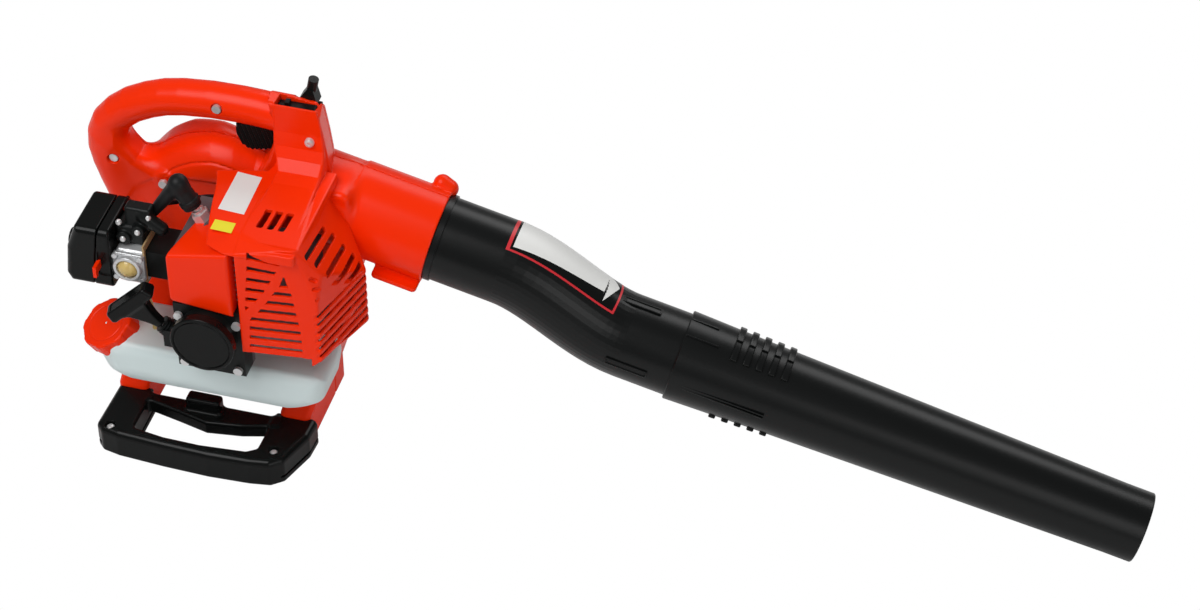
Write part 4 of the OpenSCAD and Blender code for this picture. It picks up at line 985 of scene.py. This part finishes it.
def boot(p):
    d = sd_seg(p, (-34, -86, 305), (-23.5, -86, 284), 7.6, 8.3)
    d = smin(d, sd_seg(p, (-34, -86, 305), (-59, -86, 269), 7.4, 4.6), 5.0)
    d = np.minimum(d, sd_rod(p, (-26.5, -86, 290), (-24.3, -86, 285.6), 9.2, 0.8))
    axis = np.array([0.4472, 0, -0.8944])
    tip = np.array([-22.7, -86, 282.4])
    d = np.maximum(d, (p - tip) @ axis)
    return np.maximum(d, -sd_rod(p, tip - 14 * axis, tip + 8 * axis, 5.2, 0.3))


solid("boot_shell", boot, (-68, -98, 262), (-10, -74, 318), 0.8, RUBBER,
      stands_for=("plug_boot",))

# ---------- trigger ----------
TRIGGER = [(-12, 311), (-12, 301), (-7, 289), (0, 285.5), (14, 288), (30, 296), (32, 312), (20, 315)]


def trigger(p):
    x, y, z = p.T
    d = rmax(sd_poly(x, z, TRIGGER), np.abs(y) - 6.3, 1.6)
    ribs = np.clip(np.abs(np.mod(x + 0.3 * (z - 300), 4.2) - 2.1) * 2.4 - 1.6, 0, 1)
    return d + 0.9 * ribs * np.clip((np.abs(y) - 4.0), 0, 1) * (x < 22)


solid("trigger_shell", trigger, (-16, -9, 281), (36, 9, 319), 0.6, BLACK, body="trigger_body",
      stands_for=("trigger",))

SPRING_X = -2.0
SPRING_R = 3.4
SPRING_TURNS = 7
SPRING_LOW = 316.8
SPRING_HIGH = 340.2
WIRE_R = 0.55


def spring_line():
    """The spring's helix, upright, with 12 points to a turn."""
    turns = np.linspace(0, SPRING_TURNS, SPRING_TURNS * 12 + 1)
    angle = 2 * np.pi * turns
    height = SPRING_LOW + (SPRING_HIGH - SPRING_LOW) * turns / SPRING_TURNS
    return np.stack([SPRING_X + SPRING_R * np.cos(angle), SPRING_R * np.sin(angle), height], 1)


spring = tube("trigger_coil", spring_line(), WIRE_R, STEEL, sides=8,
              stands_for=("trigger_spring",), smooth=1)
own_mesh(spring)

# ---------- throttle cable ----------
CABLE_LINE = [(-120, 0, 232), (-118, -8, 220), (-112, -22, 218), (-100, -45, 232), (-88, -70, 256),
              (-80, -86, 272), (-72, -92, 281)]
tube("cable_sleeve", CABLE_LINE, 1.5, RUBBER, sides=10,
     stands_for=("throttle_cable",))

# ---------- pipes ----------
COLLAR_S = 150.0
BEND_FROM = 62.0
BEND_LEN = 120.0
BEND_DROP = 31.8
PIPE_R = 37.3
SLEEVE_S = 229.0
SIDE = np.array([0.0, -1.0, 0.0])


def pipe_drop(s):
    """How far the curved pipe has sunk s past the collar."""
    t = np.clip((s - BEND_FROM) / BEND_LEN, 0, 1)
    return BEND_DROP * t * t * (3 - 2 * t)


def pipe_slope(s):
    t = np.clip((s - BEND_FROM) / BEND_LEN, 0, 1)
    return np.arctan(6 * BEND_DROP * t * (1 - t) / BEND_LEN)


def pipe_point(s, turn, out):
    """A point on the curved pipe: s past the collar, turn from the top towards the starter's side."""
    a, g = np.radians(turn), pipe_slope(s)
    centre = outlet(COLLAR_S + s, pipe_drop(s))
    return centre + out * (np.cos(a) * (np.cos(g) * UP + np.sin(g) * AX) + np.sin(a) * SIDE)


PATCH_LONG = 32
PATCH_WIDE = 12


def patch(name, at, low, high, out, material):
    """A thin label on the curved pipe between two turns, given at places along it."""
    verts = []
    for s in np.linspace(at[0], at[-1], PATCH_LONG + 1):
        a0, a1 = np.interp(s, at, low), np.interp(s, at, high)
        verts += [pipe_point(s, a0 + (a1 - a0) * k / PATCH_WIDE, out) for k in range(PATCH_WIDE + 1)]
    row = PATCH_WIDE + 1
    faces = [(i * row + k, i * row + k + 1, i * row + k + row + 1, i * row + k + row)
             for i in range(PATCH_LONG) for k in range(PATCH_WIDE)]
    return finish_mesh(name, verts, np.array(faces), material, "bent_pipe")


patch("label_border", [61, 157], [-52, -52], [31, 29], PIPE_R + 0.15, RED)
patch("label_ground", [63.5, 154.5], [-50, -50], [28, 26], PIPE_R + 0.25, BLACK_GLOSS)
patch("label_arrow", [65, 140, 141, 152], [-40, -44, -44, -16], [24, 8, 22, -13], PIPE_R + 0.35,
      PAPER)


def nozzle_r(s):
    return np.interp(s, [0, 78, 401, 426], [40.2, 38.0, 31.5, 31.5])


NOZZLE_AT = outlet(COLLAR_S + SLEEVE_S, BEND_DROP)
NOZZLE_WALL = [(37.5, 0), (39.4, 0), (40.2, 0.9), (38.0, 78), (31.5, 401), (31.5, 425.2),
               (31.0, 426), (29.9, 426), (29.5, 425.4), (29.5, 401), (35.5, 78), (37.5, 70)]
lathe("nozzle_shell", NOZZLE_WALL, NOZZLE_AT, AX, PIPE, body="nozzle", sides=128,
      stands_for=("nozzle_pipe",), loop=True)


def along_nozzle(p):
    v = p - NOZZLE_AT
    t = v @ AX
    r = np.linalg.norm(v - t[:, None] * AX, axis=1)
    return t, r, np.degrees(np.arctan2(v @ SIDE, v @ UP))


# Height of a grip rib by the turn from its middle
RIB_TURN = [-40, -39, -14, -13, 13, 14, 39, 40]
RIB_HIGH = [2.2, 2.6, 3.0, 4.0, 4.0, 3.0, 2.6, 2.2]
RIB_FIRST = 46.0
RIB_PITCH = 11.6
RIB_COUNT = 5


def ribs(middle):
    """A row of grip ribs round the sleeve, notched at each side of its middle."""
    def shape(p):
        t, r, turn = along_nozzle(p)
        off = np.mod(turn - middle + 180.0, 360.0) - 180.0
        high = np.interp(off, RIB_TURN, RIB_HIGH)
        k = np.clip(np.round((t - RIB_FIRST) / RIB_PITCH), 0, RIB_COUNT - 1)
        d = rmax(np.abs(t - RIB_FIRST - RIB_PITCH * k) - 3.0, r - nozzle_r(t) - high, 1.0)
        d = np.maximum(rmax(d, (np.abs(off) - 40.0) * 0.68, 1.0), nozzle_r(t) - 1.0 - r)
        notch = np.abs(np.abs(off) - 13.5) * 0.68 - 0.7
        return np.maximum(d, -np.maximum(notch, nozzle_r(t) + 1.8 - r))
    return shape


for k, middle in enumerate((-10.0, 170.0)):
    a = math.radians(middle)
    mid = NOZZLE_AT + 69.0 * AX + 34.0 * (math.cos(a) * UP + math.sin(a) * SIDE)
    solid(f"sleeve_ribs_{k}", ribs(middle), mid - (36, 32, 24), mid + (36, 32, 24), 0.7, PIPE,
          body="nozzle")


def ridge(name, at, turn, r, start, length, half, high, body, rim=0.0):
    """A raised oblong on a pipe; with a rim it is hollow inside."""
    a = math.radians(turn)
    radial = math.cos(a) * UP + math.sin(a) * SIDE
    across = np.cross(AX, radial)

    def shape(p):
        v = p - at
        t, w = v @ AX - start - length / 2, v @ across
        rad = np.hypot(w, v @ radial)
        box = rmax(np.abs(t) - length / 2, np.abs(w) - half, min(1.2, half * 0.8))
        d = rmax(box, rad - r - high, 0.35)
        if rim:
            inner = np.maximum(np.abs(t) - length / 2 + rim, np.abs(w) - half + rim)
            d = np.maximum(d, -np.maximum(inner, r + high * 0.4 - rad))
        return np.maximum(np.maximum(d, r - 1.2 - rad), -(v @ radial))

    mid = at + (start + length / 2) * AX + r * radial
    pad = np.abs(AX) * (length / 2 + 2) + np.abs(across) * (half + 2) + np.abs(radial) * 5 + 1.0
    solid(name, shape, mid - pad, mid + pad, 0.55, PIPE, body=body)


AFTER_BEND = outlet(COLLAR_S, BEND_DROP - 0.3)
ridge("pipe_boss_0", AFTER_BEND, -3.0, PIPE_R, 166.0, 38.0, 3.6, 1.5, "bent_pipe", rim=1.3)
ridge("pipe_boss_1", AFTER_BEND, 90.0, PIPE_R, 172.0, 38.0, 3.6, 1.5, "bent_pipe", rim=1.3)
ridge("sleeve_ridge_0", NOZZLE_AT, -8.0, 40.0, 1.0, 25.0, 0.7, 0.9, "nozzle")
ridge("sleeve_ridge_1", NOZZLE_AT, 19.0, 40.0, 1.0, 30.0, 0.7, 0.9, "nozzle")
ridge("sleeve_ridge_2", NOZZLE_AT, 83.0, 39.0, 1.0, 86.0, 0.7, 0.9, "nozzle")
ridge("sleeve_ridge_3", NOZZLE_AT, 87.5, 39.0, 1.0, 86.0, 0.7, 0.9, "nozzle")

# ---------- plain labels on the hood ----------


LABEL_Z = 288.45
DECK_LABEL = [(1.3, -89.6), (24.9, -91.2), (23.3, -41.7), (1.0, -39.6)]
DECK_TAG = [(3.8, -115.7), (22.8, -116.6), (22.3, -103.6), (3.8, -103.0)]


def plate_label(name, corners, material):
    verts = [(x, y, LABEL_Z) for x, y in corners]
    return finish_mesh(name, verts, np.array([(0, 1, 2, 3)]), material, "machine", smooth=False)


plate_label("deck_label", DECK_LABEL, PAPER)
plate_label("deck_tag", DECK_TAG, YELLOW)

# ---------- switch recess ----------


def switch_insert(p):
    pit = sd_box(p, (29, -13.5, 334), (61.5, 0, 342.5), 0.5)
    return np.minimum(pit, sd_box(p, (40, -0.5, 334), (61.5, 14, 336), 0.5))


solid("switch_insert", switch_insert, (26, -17, 331), (65, 17, 346), 0.8, BLACK)

# ---------- screw heads that stand in the shells ----------
BOLT_HEAD = [(0, 1.6), (1.5, 1.6), (1.8, 2.4), (3.4, 2.0), (4.2, 0.6), (4.3, -3), (0, -3)]
for k, at in enumerate([(59.4, -19.2, 316.2), (82.6, -48.2, 262.0)]):
    lathe(f"case_bolt_{k}", BOLT_HEAD, at, (0, -1, 0), STEEL, sides=24)
# ---------- stage ----------
FLOOR_HALF = 60.0
FLOOR_DROP = 0.0005
WORLD_STRENGTH = 0.22
LAMP_AIM = Vector((-0.2, 0.0, 0.2))


def shade(tree, kind, level, strength=None):
    """A grey shader node of this kind and level."""
    node = tree.nodes.new(kind)
    node.inputs["Color"].default_value = (level, level, level, 1)
    if strength is not None:
        node.inputs["Strength"].default_value = strength
    return node


def split_by_camera(tree, light, seen, output):
    """Gives the camera's own rays the shader seen, and every other ray the shader light."""
    path = tree.nodes.new("ShaderNodeLightPath")
    mix = tree.nodes.new("ShaderNodeMixShader")
    tree.links.new(path.outputs["Is Camera Ray"], mix.inputs[0])
    tree.links.new(light.outputs[0], mix.inputs[1])
    tree.links.new(seen.outputs[0], mix.inputs[2])
    tree.links.new(mix.outputs[0], output.inputs["Surface"])


def add_floor():
    """A floor that is white to the camera and lights the piece as a pale one would."""
    mesh = bpy.data.meshes.new("floor")
    corners = [(x * FLOOR_HALF, y * FLOOR_HALF, 0) for x, y in ((-1, -1), (1, -1), (1, 1), (-1, 1))]
    mesh.from_pydata(corners, [], [(0, 1, 2, 3)])
    floor = bpy.data.objects.new("floor", mesh)
    scene.collection.objects.link(floor)
    floor.location = (0, 0, -FLOOR_DROP)
    material = bpy.data.materials.new("floor_white")
    material.use_nodes = True
    tree = material.node_tree
    tree.nodes.clear()
    output = tree.nodes.new("ShaderNodeOutputMaterial")
    split_by_camera(tree, shade(tree, "ShaderNodeBsdfDiffuse", 0.8),
                    shade(tree, "ShaderNodeEmission", 1, 1.0), output)
    mesh.materials.append(material)


def add_world():
    """Even white light, and a white that is seen behind everything."""
    world = bpy.data.worlds.new("world")
    scene.world = world
    world.use_nodes = True
    tree = world.node_tree
    light = tree.nodes["Background"]
    light.inputs["Color"].default_value = (1, 1, 1, 1)
    light.inputs["Strength"].default_value = WORLD_STRENGTH
    seen = shade(tree, "ShaderNodeBackground", 1, 1.0)
    split_by_camera(tree, light, seen, tree.nodes["World Output"])


def add_lamp(name, place, size, power):
    """A lamp of size (width, height) in metres and power in watts, turned toward LAMP_AIM."""
    data = bpy.data.lights.new(name, "AREA")
    data.shape = "RECTANGLE"
    data.size, data.size_y = size
    data.energy = power
    lamp = bpy.data.objects.new(name, data)
    scene.collection.objects.link(lamp)
    lamp.location = place
    lamp.rotation_euler = (Vector(place) - LAMP_AIM).to_track_quat("Z", "Y").to_euler()


add_floor()
add_world()
add_lamp("key", (-1.0, -1.2, 2.4), (1.6, 1.6), 46)
add_lamp("fill", (1.6, -2.2, 1.2), (1.6, 1.6), 15)
add_lamp("rim", (0.3, 1.8, 1.8), (2.4, 1.0), 22)
scene.view_settings.view_transform = "Standard"
